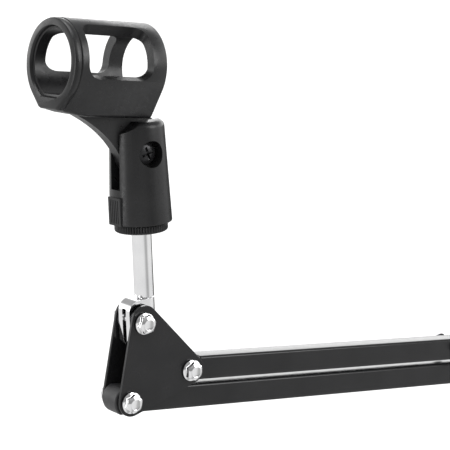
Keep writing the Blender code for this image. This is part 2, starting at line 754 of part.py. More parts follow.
def fork():
    tilt = pivot("fork_tilt", flat(FORK_PIVOT))
    right = ROD_X + ROD_RADIUS
    side = rounded(
        [(FORK_LEFT, FORK_BOTTOM), (right, FORK_BOTTOM), (right, FORK_TOP), (FORK_LEFT, FORK_TOP)],
        [0.0045, 0.004, 0, 0.0048], 6,
    )
    body = slab("rod_fork", [side], -ROD_RADIUS, ROD_RADIUS)
    plan = arc((ROD_X, 0), ROD_RADIUS, -pi / 2, pi / 2, 12)
    plan += rounded(
        [(FORK_LEFT - 0.0001, ROD_RADIUS), (FORK_LEFT - 0.0001, -ROD_RADIUS)], 0, 3
    )
    stadium = slab("stadium", [plan], FORK_BOTTOM - 0.001, FORK_TOP + 0.001, "XY")
    slot = box(
        "fork_slot", (FORK_LEFT - 0.01, -FORK_SLOT, FORK_BOTTOM - 0.01),
        (right + 0.01, FORK_SLOT, FORK_SLOT_TOP),
    )
    spigot_depth = 0.0024
    spigot_hole = cylinder(
        "spigot_hole", SPIGOT_RADIUS + GAP, (ROD_X, 0, FORK_TOP - spigot_depth - GAP),
        (ROD_X, 0, FORK_TOP + 0.01), 20,
    )
    body = combine(
        body, ("INTERSECT", stadium), ("DIFFERENCE", slot), ("DIFFERENCE", spigot_hole),
        ("DIFFERENCE", hole_through("fork_hole", (0, 0), HOLE_RADIUS)),
    )
    piece("rod_fork", body, chrome, tilt)
    foot = FORK_TOP + GAP
    top = SOCKET_TOP - GAP - 0.0008 - FORK_OFFSET.y
    rod = turned(
        "mount_rod",
        [
            (0, top), (ROD_RADIUS - 0.0006, top), (ROD_RADIUS, top - 0.0006),
            (ROD_RADIUS, foot), (SPIGOT_RADIUS, foot), (SPIGOT_RADIUS, FORK_TOP - spigot_depth),
            (0, FORK_TOP - spigot_depth),
        ],
        32,
    )
    piece("mount_rod", rod, chrome, tilt, (ROD_X, 0, 0))


# Clip: X points towards the mouth, and Z up the rod

def clip_base():
    swivel = pivot("clip_swivel", flat((ROD_AXIS, HEAD_BOTTOM.y)), None, 0, pi + CLIP_YAW)
    inner = ROD_RADIUS + GAP
    ring = turned(
        "knurled_ring",
        [
            (inner, RING_TOP), (RING_RADIUS, RING_TOP), (RING_RADIUS, RING_BOTTOM + 0.0006),
            (RING_RADIUS - 0.0008, RING_BOTTOM), (inner, RING_BOTTOM),
        ],
        32,
    )
    piece("knurled_ring", ring, moulded_black, swivel)
    insert_radius = 0.0079
    insert = turned(
        "thread_insert",
        [
            (inner, SOCKET_TOP - GAP), (insert_radius, SOCKET_TOP - GAP),
            (insert_radius, CLIP_BOTTOM + GAP), (inner, CLIP_BOTTOM + GAP),
        ],
        28,
    )
    piece("thread_insert", insert, brass, swivel)
    socket = insert_radius + GAP
    edge = 0.0012
    body = turned(
        "clip_base",
        [
            (0, CLIP_TOP), (CLIP_TOP_RADIUS - edge, CLIP_TOP),
            (CLIP_TOP_RADIUS - edge * 0.3, CLIP_TOP - edge * 0.3),
            (CLIP_TOP_RADIUS, CLIP_TOP - edge), (CLIP_BOTTOM_RADIUS, CLIP_BOTTOM + 0.0005),
            (CLIP_BOTTOM_RADIUS - 0.0005, CLIP_BOTTOM), (socket, CLIP_BOTTOM),
            (socket, SOCKET_TOP), (0, SOCKET_TOP),
        ],
        36,
    )
    slot = box(
        "cheek_slot", (-0.03, -SLOT_HALF, SLOT_BOTTOM), (0.03, SLOT_HALF, CLIP_TOP + 0.01)
    )
    chamfer = slab(
        "front_chamfer",
        [[(0.0030, CLIP_TOP + 0.0008), (0.0136, CLIP_TOP - 0.0062), (0.03, CLIP_TOP - 0.0062),
          (0.03, CLIP_TOP + 0.01), (0.0030, CLIP_TOP + 0.01)]],
        -0.02, 0.02,
    )
    x, z = CLIP_PIVOT
    screw_hole = hole_through("cheek_hole", CLIP_PIVOT, 0.0023)
    recess = cylinder("screw_recess", RECESS_RADIUS, (x, RECESS_FLOOR, z), (x, 0.02, z), 28)
    pocket = cylinder("nut_pocket", 0.0044, (x, -NUT_FLOOR, z), (x, -0.02, z), 6)
    body = combine(
        body, ("DIFFERENCE", slot), ("DIFFERENCE", chamfer), ("DIFFERENCE", screw_hole),
        ("DIFFERENCE", recess), ("DIFFERENCE", pocket),
    )
    piece("clip_base", body, moulded_black, swivel)
    seat = RECESS_FLOOR + GAP
    shank = cylinder("clip_screw", 0.0020, (0, seat + 0.0005, 0), (0, -0.0100, 0), 20)
    head_disc = cylinder(
        "screw_head", SCREW_HEAD_RADIUS, (0, seat, 0), (0, seat + 0.0019, 0), 28,
        SCREW_HEAD_RADIUS * 0.82,
    )
    arm = 0.0025
    cross = [
        ("DIFFERENCE", box("cross_a", (-arm, seat + 0.0008, -0.0005), (arm, 0.02, 0.0005))),
        ("DIFFERENCE", box("cross_b", (-0.0005, seat + 0.0008, -arm), (0.0005, 0.02, arm))),
    ]
    piece(
        "clip_screw", combine(shank, ("UNION", head_disc), *cross), spring_steel, swivel, (x, 0, z)
    )
    nut = cylinder("clip_nut", 0.0040, (0, -NUT_FLOOR - GAP, 0), (0, -0.0097, 0), 6)
    nut = combine(nut, ("DIFFERENCE", hole_through("nut_hole", (0, 0), 0.0023)))
    piece("clip_nut", nut, spring_steel, swivel, (x, 0, z))
    return swivel


def bezier(a, b, c, d, steps):
    points = []
    for i in range(steps + 1):
        t = i / steps
        s = 1 - t
        weights = (s * s * s, 3 * s * s * t, 3 * s * t * t, t * t * t)
        x = sum(w * p[0] for w, p in zip(weights, (a, b, c, d)))
        z = sum(w * p[1] for w, p in zip(weights, (a, b, c, d)))
        points.append((x, z))
    return points


def window_cutter(side):
    """Sector of the barrel wall on one side, with rounded corners along the barrel."""
    sector = [(0, 0)]
    for angle in (WINDOW_LOW, (WINDOW_LOW + WINDOW_HIGH) / 2, WINDOW_HIGH):
        sector.append((side * 0.030 * cos(angle), 0.030 * sin(angle)))
    wedge = slab("window", [sector], WINDOW_START - 0.001, WINDOW_END + 0.001, "YZ")
    middle = (WINDOW_LOW + WINDOW_HIGH) / 2
    reach = 1.02 * BARREL_RADIUS * sin((WINDOW_HIGH - WINDOW_LOW) / 2)
    face = rounded(
        [(WINDOW_START, -reach), (WINDOW_END, -reach), (WINDOW_END, reach),
         (WINDOW_START, reach)], WINDOW_CORNER, 5,
    )
    prism = slab("window_face", [face], -0.035, -BORE_RADIUS * 0.5)
    lean = middle if side < 0 else pi - middle
    prism.transform(Matrix.Rotation(-lean, 4, "X"))
    return combine(wedge, ("INTERSECT", prism))


def clip_barrel(swivel):
    x, z = CLIP_PIVOT
    tilt = pivot("clip_tilt", (x, 0, z), swivel)
    away = hypot(BLOCK_HALF, BLOCK_DEPTH)
    widest = atan2(BLOCK_DEPTH, BLOCK_HALF) - acos(BARREL_RADIUS / away)
    outline = arc((0, 0), BARREL_RADIUS, -widest, pi + widest, 40)
    outline += [(-BLOCK_HALF, -BLOCK_DEPTH), (BLOCK_HALF, -BLOCK_DEPTH)]
    barrel = slab("clip_barrel", [outline], BARREL_BACK, BARREL_FRONT, "YZ")
    mouth_cut = slab(
        "mouth_cut",
        [[(BARREL_FRONT + 0.001, -0.0172), (BARREL_FRONT - 0.008, -BLOCK_DEPTH - 0.0004),
          (BARREL_FRONT - 0.008, -0.03), (BARREL_FRONT + 0.001, -0.03)]],
        -0.02, 0.02,
    )
    to_pivot = Matrix.Translation((BARREL_CENTRE.x - x, 0, BARREL_CENTRE.y - z))
    tilted = to_pivot @ Matrix.Rotation(-BARREL_TILT, 4, "Y")
    low = asin(BORE_FLOOR / BORE_RADIUS)
    bore = slab("bore", [arc((0, 0), BORE_RADIUS, -low, pi + low, 36)], -0.03, 0.06, "YZ")
    windows = [window_cutter(-1), window_cutter(1)]
    for mesh in (barrel, mouth_cut, bore, *windows):
        mesh.transform(tilted)
    outline = bezier((0.0098, 0.0982), (0.0130, 0.1060), (0.0220, 0.1155), (0.0385, 0.1226), 10)
    outline += [(0.0385, 0.1250), (-0.0030, 0.1185), (-0.0034, 0.1145)]
    outline += arc(CLIP_PIVOT, NECK_ROUND, pi, tau - radians(13), 16)[:-1]
    neck = slab("neck", [[(a - x, b - z) for a, b in outline]], -NECK_HALF, NECK_HALF)
    hole = hole_through("neck_hole", (0, 0), 0.0023)
    body = combine(
        barrel, ("DIFFERENCE", mouth_cut), ("UNION", neck), ("DIFFERENCE", bore),
        ("DIFFERENCE", hole), ("DIFFERENCE", windows[0]), ("DIFFERENCE", windows[1]),
    )
    piece("clip_barrel", body, moulded_black, tilt)


clamp()
clamp_press()
post_lock()
lower_arm(base())
upper_arm(elbow())
head()
fork()
clip_barrel(clip_base())

for mesh in list(bpy.data.meshes):
    if not mesh.users:
        bpy.data.meshes.remove(mesh)
print("objects:", sum(made.type == "MESH" for made in parts.objects))
print("head pivot", HEAD_BOTTOM, "fork pivot", FORK_PIVOT, "spring pins", LOWER_HOOK, UPPER_HOOK)
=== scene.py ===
import json
from math import acos, asin, atan2, cos, hypot, pi, radians, sin, tau

import bmesh
import bpy
from mathutils import Matrix, Quaternion, Vector


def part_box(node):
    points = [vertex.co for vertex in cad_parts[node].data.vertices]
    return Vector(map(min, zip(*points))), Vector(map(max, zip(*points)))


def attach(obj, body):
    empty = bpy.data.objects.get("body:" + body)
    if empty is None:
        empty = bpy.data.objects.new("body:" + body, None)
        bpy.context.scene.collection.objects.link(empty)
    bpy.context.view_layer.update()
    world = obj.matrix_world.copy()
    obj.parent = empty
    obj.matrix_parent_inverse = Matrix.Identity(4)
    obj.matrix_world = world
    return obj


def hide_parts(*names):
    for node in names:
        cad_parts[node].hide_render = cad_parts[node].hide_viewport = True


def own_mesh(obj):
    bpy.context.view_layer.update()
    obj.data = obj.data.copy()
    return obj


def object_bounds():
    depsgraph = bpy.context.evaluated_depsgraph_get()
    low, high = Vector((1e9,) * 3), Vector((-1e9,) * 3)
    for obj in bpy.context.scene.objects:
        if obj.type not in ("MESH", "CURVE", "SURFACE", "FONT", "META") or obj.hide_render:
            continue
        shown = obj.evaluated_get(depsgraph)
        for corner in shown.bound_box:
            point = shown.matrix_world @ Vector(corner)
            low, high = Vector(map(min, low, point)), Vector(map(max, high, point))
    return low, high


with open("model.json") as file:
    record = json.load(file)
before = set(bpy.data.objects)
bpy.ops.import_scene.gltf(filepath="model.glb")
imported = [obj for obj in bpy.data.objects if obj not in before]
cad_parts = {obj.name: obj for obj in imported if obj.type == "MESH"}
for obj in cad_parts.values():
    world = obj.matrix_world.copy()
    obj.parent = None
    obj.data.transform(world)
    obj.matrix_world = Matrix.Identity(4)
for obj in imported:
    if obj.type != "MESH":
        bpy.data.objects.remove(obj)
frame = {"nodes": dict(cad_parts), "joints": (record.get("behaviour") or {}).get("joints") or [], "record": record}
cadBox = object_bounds()
scene = bpy.context.scene
scene.view_settings.view_transform = "Standard"

joints = {j["name"]: j for j in frame["joints"]}
pivots = {name: Vector(j["pos_m"]) for name, j in joints.items() if "pos_m" in j}
slotOf = {s["node"]: s["material_slot"] for s in frame["record"]["subparts"]}
bodyOf = {n: body for body, group in frame["record"]["behaviour"]["bodies"].items() for n in group}


def middle(node):
    low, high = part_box(node)
    return (low + high) / 2


# one shader node; a value goes to the input of its name, or else to the setting of its name
def node(tree, kind, **values):
    made = tree.nodes.new(kind)
    for key, value in values.items():
        if key in made.inputs:
            made.inputs[key].default_value = value
        else:
            setattr(made, key, value)
    return made


# spreads the values from low to high of one node over start to end
def rangeNode(tree, source, low, high, start=0.0, end=1.0):
    made = node(tree, "ShaderNodeMapRange")
    sockets = ("From Min", "From Max", "To Min", "To Max")
    for socket, value in zip(sockets, (low, high, start, end)):
        made.inputs[socket].default_value = value
    tree.links.new(source, made.inputs["Value"])
    return made


# what a finish has when its own entry below doesn't say; grains and clouds are per metre
plainLook = {"metal": 0.0, "ior": 1.48, "stretch": (1, 1, 1), "cloudScale": 90, "glossScale": 400,
             "noiseMiddle": (0.3, 0.7), "grainDepth": 0.0001}
looks = {
    "black_paint": {"colour": ((0.007, 0.007, 0.0075), (0.011, 0.011, 0.0115)), "rough": (0.14, 0.2),
                    "ior": 1.4, "cloudScale": 60, "glossScale": 300, "grainScale": 1500, "grain": 0.06},
    "moulded_black": {"colour": ((0.006, 0.006, 0.0065), (0.010, 0.010, 0.0105)), "rough": (0.26, 0.38),
                      "ior": 1.42, "cloudScale": 70, "glossScale": 600, "grainScale": 3200, "grain": 0.12},
    "chrome": {"colour": ((0.86, 0.86, 0.87), (0.92, 0.92, 0.92)), "rough": (0.05, 0.11), "metal": 1.0,
               "glossScale": 500, "grainScale": 900, "grain": 0.02},
    "zinc": {"colour": ((0.52, 0.52, 0.55), (0.66, 0.66, 0.67)), "rough": (0.24, 0.4), "metal": 1.0,
             "cloudScale": 200, "glossScale": 700, "grainScale": 2200, "grain": 0.12},
    "spring_steel": {"colour": ((0.035, 0.035, 0.038), (0.06, 0.06, 0.064)), "rough": (0.22, 0.38),
                     "metal": 0.85, "cloudScale": 300, "grainScale": 2500, "grain": 0.15},
    "rubber": {"colour": ((0.012, 0.012, 0.012), (0.019, 0.019, 0.018)), "rough": (0.7, 0.88),
               "grainScale": 2800, "grain": 0.35},
    "brass": {"colour": ((0.72, 0.52, 0.25), (0.82, 0.64, 0.34)), "rough": (0.2, 0.36), "metal": 1.0,
              "grainScale": 2000, "grain": 0.1},
    "nylon": {"colour": ((0.06, 0.06, 0.065), (0.085, 0.085, 0.09)), "rough": (0.42, 0.55),
              "grainScale": 1800, "grain": 0.12},
    "plug_plastic": {"colour": ((0.014, 0.014, 0.015), (0.024, 0.024, 0.025)), "rough": (0.34, 0.5),
                     "cloudScale": 200, "grainScale": 1300, "grain": 0.4},
    "rod_chrome": {"colour": ((0.84, 0.84, 0.85), (0.93, 0.93, 0.93)), "rough": (0.07, 0.16), "metal": 1.0,
                   "stretch": (1, 1, 0.06), "glossScale": 1400, "grainScale": 1800, "grain": 0.05},
    "black_screw": {"colour": ((0.02, 0.02, 0.021), (0.035, 0.035, 0.037)), "rough": (0.2, 0.32),
                    "metal": 0.6, "grainScale": 2200, "grain": 0.1},
}


def surface(name, ownLook):
    look = {**plainLook, **ownLook}
    made = bpy.data.materials.new(name)
    made.use_nodes = True
    tree = made.node_tree
    link = tree.links.new
    shader = tree.nodes["Principled BSDF"]
    shader.inputs["Metallic"].default_value = look["metal"]
    shader.inputs["IOR"].default_value = look["ior"]
    place = node(tree, "ShaderNodeTexCoord").outputs["Object"]
    stretch = node(tree, "ShaderNodeMapping", Scale=look["stretch"])
    link(place, stretch.inputs["Vector"])

    # slow change of tone
    cloud = node(tree, "ShaderNodeTexNoise", Scale=look["cloudScale"], Detail=4.0)
    link(place, cloud.inputs["Vector"])
    tone = node(tree, "ShaderNodeValToRGB")
    for stop, position, colour in zip(tone.color_ramp.elements, look["noiseMiddle"], look["colour"]):
        stop.position = position
        stop.color = (*colour, 1)
    link(cloud.outputs["Fac"], tone.inputs["Fac"])
    link(tone.outputs["Color"], shader.inputs["Base Color"])

    # gloss that varies from place to place
    gloss = node(tree, "ShaderNodeTexNoise", Scale=look["glossScale"], Detail=3.0)
    link(stretch.outputs["Vector"], gloss.inputs["Vector"])
    rough = rangeNode(tree, gloss.outputs["Fac"], *look["noiseMiddle"], *look["rough"])
    link(rough.outputs["Result"], shader.inputs["Roughness"])

    # fine grain
    grain = node(tree, "ShaderNodeTexNoise", Scale=look["grainScale"], Detail=2.0)
    link(stretch.outputs["Vector"], grain.inputs["Vector"])
    bump = node(tree, "ShaderNodeBump", Strength=look["grain"], Distance=look["grainDepth"])
    link(grain.outputs["Fac"], bump.inputs["Height"])
    link(bump.outputs["Normal"], shader.inputs["Normal"])
    return made


finishes = {name: surface(name, look) for name, look in looks.items()}
print("materials made:", len(finishes))


# points along an arc, both ends included
def arc(centre, radius, start, end, steps):
    turns = [start + (end - start) * i / steps for i in range(steps + 1)]
    return [(centre[0] + radius * cos(a), centre[1] + radius * sin(a)) for a in turns]


# an outline with its corners rounded
def fillet(points, radii, steps=5, closed=True):
    rounded = []
    for i, point in enumerate(points):
        here = Vector(point)
        radius = radii[i] if isinstance(radii, (list, tuple)) else radii
        atEnd = not closed and i in (0, len(points) - 1)
        if atEnd or radius == 0:
            rounded.append(tuple(here))
            continue
        toLast = (Vector(points[i - 1]) - here).normalized()
        toNext = (Vector(points[(i + 1) % len(points)]) - here).normalized()
        half = toLast.angle(toNext) / 2
        centre = here + (toLast + toNext).normalized() * (radius / sin(half))
        first = here + toLast * (radius / (sin(half) / cos(half))) - centre
        final = here + toNext * (radius / (sin(half) / cos(half))) - centre
        start = atan2(first.y, first.x)
        sweep = (atan2(final.y, final.x) - start + pi) % tau - pi
        rounded += arc(centre, radius, start, start + sweep, steps)
    return rounded


def cross(a, b, c):
    return (b[0] - a[0]) * (c[1] - a[1]) - (b[1] - a[1]) * (c[0] - a[0])


# the outline of a belt round several equal circles
def belt(centres, radius, steps=12):
    hull = []
    for ordered in (sorted(centres), sorted(centres, reverse=True)):
        side = []
        for place in ordered:
            while len(side) > 1 and cross(side[-2], side[-1], place) <= 0:
                side.pop()
            side.append(place)
        hull += side[:-1]
    points = []
    for i, here in enumerate(hull):
        last, following = hull[i - 1], hull[(i + 1) % len(hull)]
        start = atan2(here[1] - last[1], here[0] - last[0]) - pi / 2
        end = atan2(following[1] - here[1], following[0] - here[0]) - pi / 2
        points += arc(here, radius, start, start + (end - start) % tau, steps)
    return points


def meshOf(built, name):
    bmesh.ops.remove_doubles(built, verts=built.verts, dist=1e-7)
    bmesh.ops.recalc_face_normals(built, faces=built.faces)
    mesh = bpy.data.meshes.new(name)
    built.to_mesh(mesh)
    built.free()
    return mesh


toPlane = {
    "XY": lambda a, b, c: (a, b, c),
    "XZ": lambda a, b, c: (a, c, b),
    "YZ": lambda a, b, c: (c, a, b),
}


# a flat outline given thickness from low to high, across its plane
def prism(name, outline, low, high, plane="XZ"):
    place = toPlane[plane]
    built = bmesh.new()
    bottom = [built.verts.new(place(a, b, low)) for a, b in outline]
    top = [built.verts.new(place(a, b, high)) for a, b in outline]
    built.faces.new(bottom[::-1])
    built.faces.new(top)
    count = len(outline)
    for i in range(count):
        j = (i + 1) % count
        built.faces.new((bottom[i], bottom[j], top[j], top[i]))
    return meshOf(built, name)


# outlines of equal length at several places along X, joined into one body
def loft(name, sections):
    built = bmesh.new()
    rings = [[built.verts.new((x, a, b)) for a, b in outline] for x, outline in sections]
    built.faces.new(rings[0][::-1])
    built.faces.new(rings[-1])
    for first, second in zip(rings, rings[1:]):
        for i in range(len(first)):
            j = (i + 1) % len(first)
            built.faces.new((first[i], first[j], second[j], second[i]))
    return meshOf(built, name)


# a body turned about Z; shape(angle, r, z) may change the radius round the turn
def turned(name, profile, sides=64, shape=None):
    built = bmesh.new()
    rings = []
    for r, z in profile:
        if r < 1e-7:
            rings.append([built.verts.new((0, 0, z))])
            continue
        ring = []
        for i in range(sides):
            angle = tau * i / sides
            radius = shape(angle, r, z) if shape else r
            ring.append(built.verts.new((radius * cos(angle), radius * sin(angle), z)))
        rings.append(ring)
    pairs = list(zip(rings, rings[1:]))
    if len(rings[0]) > 1 and len(rings[-1]) > 1:
        pairs.append((rings[-1], rings[0]))
    for a, b in pairs:
        for i in range(sides):
            j = (i + 1) % sides
            if len(a) == 1 and len(b) > 1:
                built.faces.new((a[0], b[i], b[j]))
            elif len(b) == 1 and len(a) > 1:
                built.faces.new((a[i], b[0], a[j]))
            elif len(a) > 1:
                built.faces.new((a[i], b[i], b[j], a[j]))
    return meshOf(built, name)


def rod(name, radius, start, end, sides=32):
    start, end = Vector(start), Vector(end)
    along = end - start
    mesh = turned(name, [(0, 0), (radius, 0), (radius, along.length), (0, along.length)], sides)
    mesh.transform(Matrix.Translation(start) @ along.to_track_quat("Z", "Y").to_matrix().to_4x4())
    return mesh


def block(name, low, high):
    return prism(name, [(low[0], low[1]), (high[0], low[1]), (high[0], high[1]), (low[0], high[1])],
                 low[2], high[2], "XY")


# round wire along a line of points
def tube(name, points, radius, sides=4):
    curve = bpy.data.curves.new(name, "CURVE")
    curve.dimensions = "3D"
    curve.bevel_depth = radius
    curve.bevel_resolution = sides
    curve.use_fill_caps = True
    spline = curve.splines.new("POLY")
    spline.points.add(len(points) - 1)
    for point, place in zip(spline.points, points):
        point.co = (*place, 1)
    drawn = bpy.data.objects.new(name, curve)
    scene.collection.objects.link(drawn)
    mesh = bpy.data.meshes.new_from_object(drawn.evaluated_get(bpy.context.evaluated_depsgraph_get()))
    bpy.data.objects.remove(drawn)
    return mesh


# each step is a mesh to cut away, or an operation with its mesh
def carve(base, *steps):
    shape = bpy.data.objects.new(base.name, base)
    scene.collection.objects.link(shape)
    tools = []
    for step in steps:
        operation, other = step if isinstance(step, tuple) else ("DIFFERENCE", step)
        tool = bpy.data.objects.new(other.name, other)
        scene.collection.objects.link(tool)
        tools.append(tool)
        boolean = shape.modifiers.new("carve", "BOOLEAN")
        boolean.operation = operation
        boolean.solver = "EXACT"
        boolean.object = tool
    bpy.context.view_layer.update()
    result = bpy.data.meshes.new_from_object(shape.evaluated_get(bpy.context.evaluated_depsgraph_get()))
    for used in (shape, *tools):
        bpy.data.objects.remove(used)
    return result


# a finished piece: where it goes, what it stands for, its edge rounding and its finish
def piece(name, mesh, replaced, place=None, finish=None, edge=0.0, segments=3, angle=32):
    mesh.name = name
    made = bpy.data.objects.new(name, mesh)
    scene.collection.objects.link(made)
    slot = slotOf[replaced]
    mesh.materials.clear()
    mesh.materials.append(finishes[finish or slot])
    mesh.shade_smooth()
    mesh.set_sharp_from_angle(angle=radians(angle))
    if edge:
        bevel = made.modifiers.new("edges", "BEVEL")
        bevel.width = edge
        bevel.segments = segments
        bevel.limit_method = "ANGLE"
        bevel.angle_limit = radians(angle)
        bevel.miter_outer = "MITER_ARC"
        bevel.harden_normals = True
    if place is not None:
        made.matrix_world = place
    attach(made, bodyOf[replaced])
    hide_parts(replaced)
    return made


# turned to an angle in the arm's own plane
def inPlane(at, angle=0.0, y=0.0):
    return Matrix.Translation((at.x, y, at.z)) @ Matrix.Rotation(-angle, 4, "Y")


def slopeFrom(start, end):
    return atan2(end.z - start.z, end.x - start.x)


through = 0.02      # half length of a cut that goes right through a piece
spare = 0.01        # how far a cut runs past the end of a piece


# a hole across the arm
def crossHole(radius, x=0.0, z=0.0, sides=40):
    return rod("hole", radius, (x, -through, z), (x, through, z), sides)


# pivots of the two parallelograms
baseFront = pivots["lower_arm_pitch"]
baseRear = pivots["lower_arm_rear_pitch"]
elbowFront = pivots["elbow_level"]
elbowTop = pivots["upper_arm_pitch"]
elbowBottom = pivots["upper_arm_bottom_pitch"]
headTop = pivots["head_level"]
forkPivot = pivots["fork_tilt"]
elbowRear = baseRear + (elbowFront - baseFront)
headBottom = elbowBottom + (headTop - elbowTop)
armLength = (headTop - elbowTop).length
lowerAngle = slopeFrom(baseFront, elbowFront)
upperAngle = slopeFrom(elbowTop, headTop)


# square tubes with a plastic plug in each end
bars = {"half": 0.005, "wall": 0.001, "corner": 0.0013, "innerCorner": 0.0004, "start": 0.0063, "pin": 0.002,
        "plugRadius": 0.0062, "plugHalf": 0.0055, "plugShoulder": 0.002, "plugEnd": 0.006, "plugEdge": 0.0012,
        "tongue": 0.014, "tongueGap": 0.0003, "hole": 0.0028}


def barMesh(name, pinAt=None):
    half, inner = bars["half"], bars["half"] - bars["wall"]
    corners = [(-1, -1), (1, -1), (1, 1), (-1, 1)]
    outside = fillet([(half * a, half * b) for a, b in corners], bars["corner"], 8)
    inside = fillet([(inner * a, inner * b) for a, b in corners], bars["innerCorner"], 3)
    start, end = bars["start"], armLength - bars["start"]
    cuts = [prism("inside", inside, start - spare, end + spare, "YZ")]
    if pinAt:
        cuts.append(crossHole(bars["pin"], pinAt, sides=24))
    return carve(prism(name, outside, start, end, "YZ"), *cuts)


def plugMesh(name):
    half, wide, shoulder, end = (bars[key] for key in ("half", "plugHalf", "plugShoulder", "plugEnd"))
    clipped = asin(wide / bars["plugRadius"])
    outline = arc((0, 0), bars["plugRadius"], pi - clipped, pi + clipped, 40)
    outline += [(shoulder, -wide), (end, -half), (end, half), (shoulder, wide)]
    cap = prism(name, outline, -half, half)
    inner = half - bars["wall"] - bars["tongueGap"]
    tongue = block("tongue", (end - 0.001, -inner, -inner), (end + bars["tongue"], inner, inner))
    return carve(cap, ("UNION", tongue), crossHole(bars["hole"], sides=32))


def bar(name, start, angle, pin=None):
    pinAt = (middle(pin) - start).length if pin else None
    place = inPlane(start, angle)
    piece(name + "_tube", barMesh(name, pinAt), name, place, angle=40)
    far = place @ Matrix.Translation((armLength, 0, 0)) @ Matrix.Rotation(pi, 4, "Y")
    for end, at in (("lower", place), ("upper", far)):
        piece(f"{name}_end_{end}", plugMesh(name), f"{name}_plug_{end}", at, "plug_plastic",
              bars["plugEdge"], 5)


bar("lower_bar_front", baseFront, lowerAngle, "lower_spring_pin")
bar("lower_bar_rear", baseRear, lowerAngle)
bar("upper_bar_top", elbowTop, upperAngle, "upper_spring_pin")
bar("upper_bar_bottom", elbowBottom, upperAngle)
print("bars and plugs done")


# side plates; the corners of the head's plates stand a little off its bolts
plates = {"inside": 0.0054, "outside": 0.0069, "corner": 0.0065, "headCorner": 0.006,
          "headShifts": ((0.0008, -0.0001), (0.0005, 0.0), (0.0007, 0.0011)),
          "hole": 0.0028, "studHole": 0.002, "edge": 0.0004}


def plateMesh(name, centres, studs, side):
    if name.startswith("head"):
        corners = [(c.x + a, c.z + b) for c, (a, b) in zip(centres, plates["headShifts"])]
        outline = belt(corners, plates["headCorner"])
    else:
        outline = belt([(c.x, c.z) for c in centres + studs], plates["corner"])
    blank = prism(name, outline, side * plates["inside"], side * plates["outside"])
    holes = [(c, plates["hole"]) for c in centres] + [(c, plates["studHole"]) for c in studs]
    return carve(blank, *[crossHole(radius, c.x, c.z) for c, radius in holes])


postBolt = middle("base_bolt_post")
plateSets = {
    "base_plate": ([baseFront, baseRear, postBolt], [pivots["lower_spring_swing"]]),
    "elbow_plate": ([elbowFront, elbowRear, elbowBottom, elbowTop], [pivots["upper_spring_swing"]]),
    "head_plate": ([headBottom, headTop, forkPivot], []),
}
for name, (centres, studs) in plateSets.items():
    for side, word in ((-1, "near"), (1, "far")):
        mesh = plateMesh(name, centres, studs, side)
        piece(f"{name}_{word}_sheet", mesh, f"{name}_{word}", edge=plates["edge"])
print("side plates done")


# flanged bolts with nuts; a hexagon's chamfer and dish are shares of its size across flats
bolts = {"seat": 0.0072, "shank": 0.0025, "flange": 0.0044, "flangeHeight": 0.0012, "acrossFlats": 0.0068,
         "headFoot": 0.0006, "headHeight": 0.0036, "nutHeight": 0.0034, "tip": 0.0120, "threadStart": 0.0055,
         "threadDepth": 0.0003, "pitch": 0.0008, "nutClearance": 0.00005}
hexagons = {"cornerRatio": 1.155, "slope": 1.7, "chamfer": 0.11, "dish": 0.33, "dishDepth": 0.00015,
            "holeBevel": 0.0006, "holeBevelDepth": 0.0005}


# radius of a hexagon with a cone turned on its top
def hexShape(acrossFlats, top, chamfer):
    def shape(angle, r, z):
        side = (angle % (pi / 3)) - pi / 6
        flatSided = acrossFlats / 2 / cos(side)
        rise = max(0.0, z - (top - chamfer))
        cone = acrossFlats / 2 * hexagons["cornerRatio"] - rise * hexagons["slope"]
        return min(flatSided, cone) * r
    return shape


def hexMesh(name, acrossFlats, base, top, hollow=0.0):
    chamfer = acrossFlats * hexagons["chamfer"]
    heights = [base] + [top - chamfer + chamfer * i / 6 for i in range(7)]
    profile = [(hollow, base)] + [(1.0, z) for z in heights]      # a radius of 1 stands for the hexagon
    dish = acrossFlats * hexagons["dish"]
    if hollow:
        profile += [(hollow + hexagons["holeBevel"], top), (hollow, top - hexagons["holeBevelDepth"])]
    else:
        profile += [(dish, top + hexagons["dishDepth"]), (dish * 0.85, top), (0, top)]
    hexagon = hexShape(acrossFlats, top, chamfer)
    return turned(name, profile, 72, lambda a, r, z: hexagon(a, r, z) if r == 1.0 else r)


def flangeMesh(name, hollow=0.0):
    radius, high = bolts["flange"], bolts["flangeHeight"]
    rim = high * 0.55
    profile = [(radius - 0.0002, 0), (radius, 0.0002), (radius, rim), (radius - 0.00025, rim + 0.0002)]
    profile += [(bolts["acrossFlats"] * 0.47, high + 0.0001), (hollow, high + 0.0001), (hollow, 0)]
    return turned(name, profile, 72)


threadCurve = 0.8      # below 1 the thread's crest is flatter than its root


def threadMesh(name, radius, depth, pitch, low, high, sides=32, perTurn=8):
    count = int((high - low) / pitch * perTurn)
    def shape(angle, r, z):
        phase = (z / pitch - angle / tau) % 1.0
        fade = min(1.0, (high - z) / pitch, (z - low) / pitch)
        return r - depth * fade * (1 - abs(2 * phase - 1)) ** threadCurve
    zs = [low + (high - low) * i / count for i in range(count + 1)]
    return turned(name, [(0, low)] + [(radius, z) for z in zs] + [(0, high)], sides, shape)


def joined(name, *meshes):
    built = bmesh.new()
    for mesh in meshes:
        built.from_mesh(mesh)
        bpy.data.meshes.remove(mesh)
    mesh = bpy.data.meshes.new(name)
    built.to_mesh(mesh)
    built.free()
    return mesh


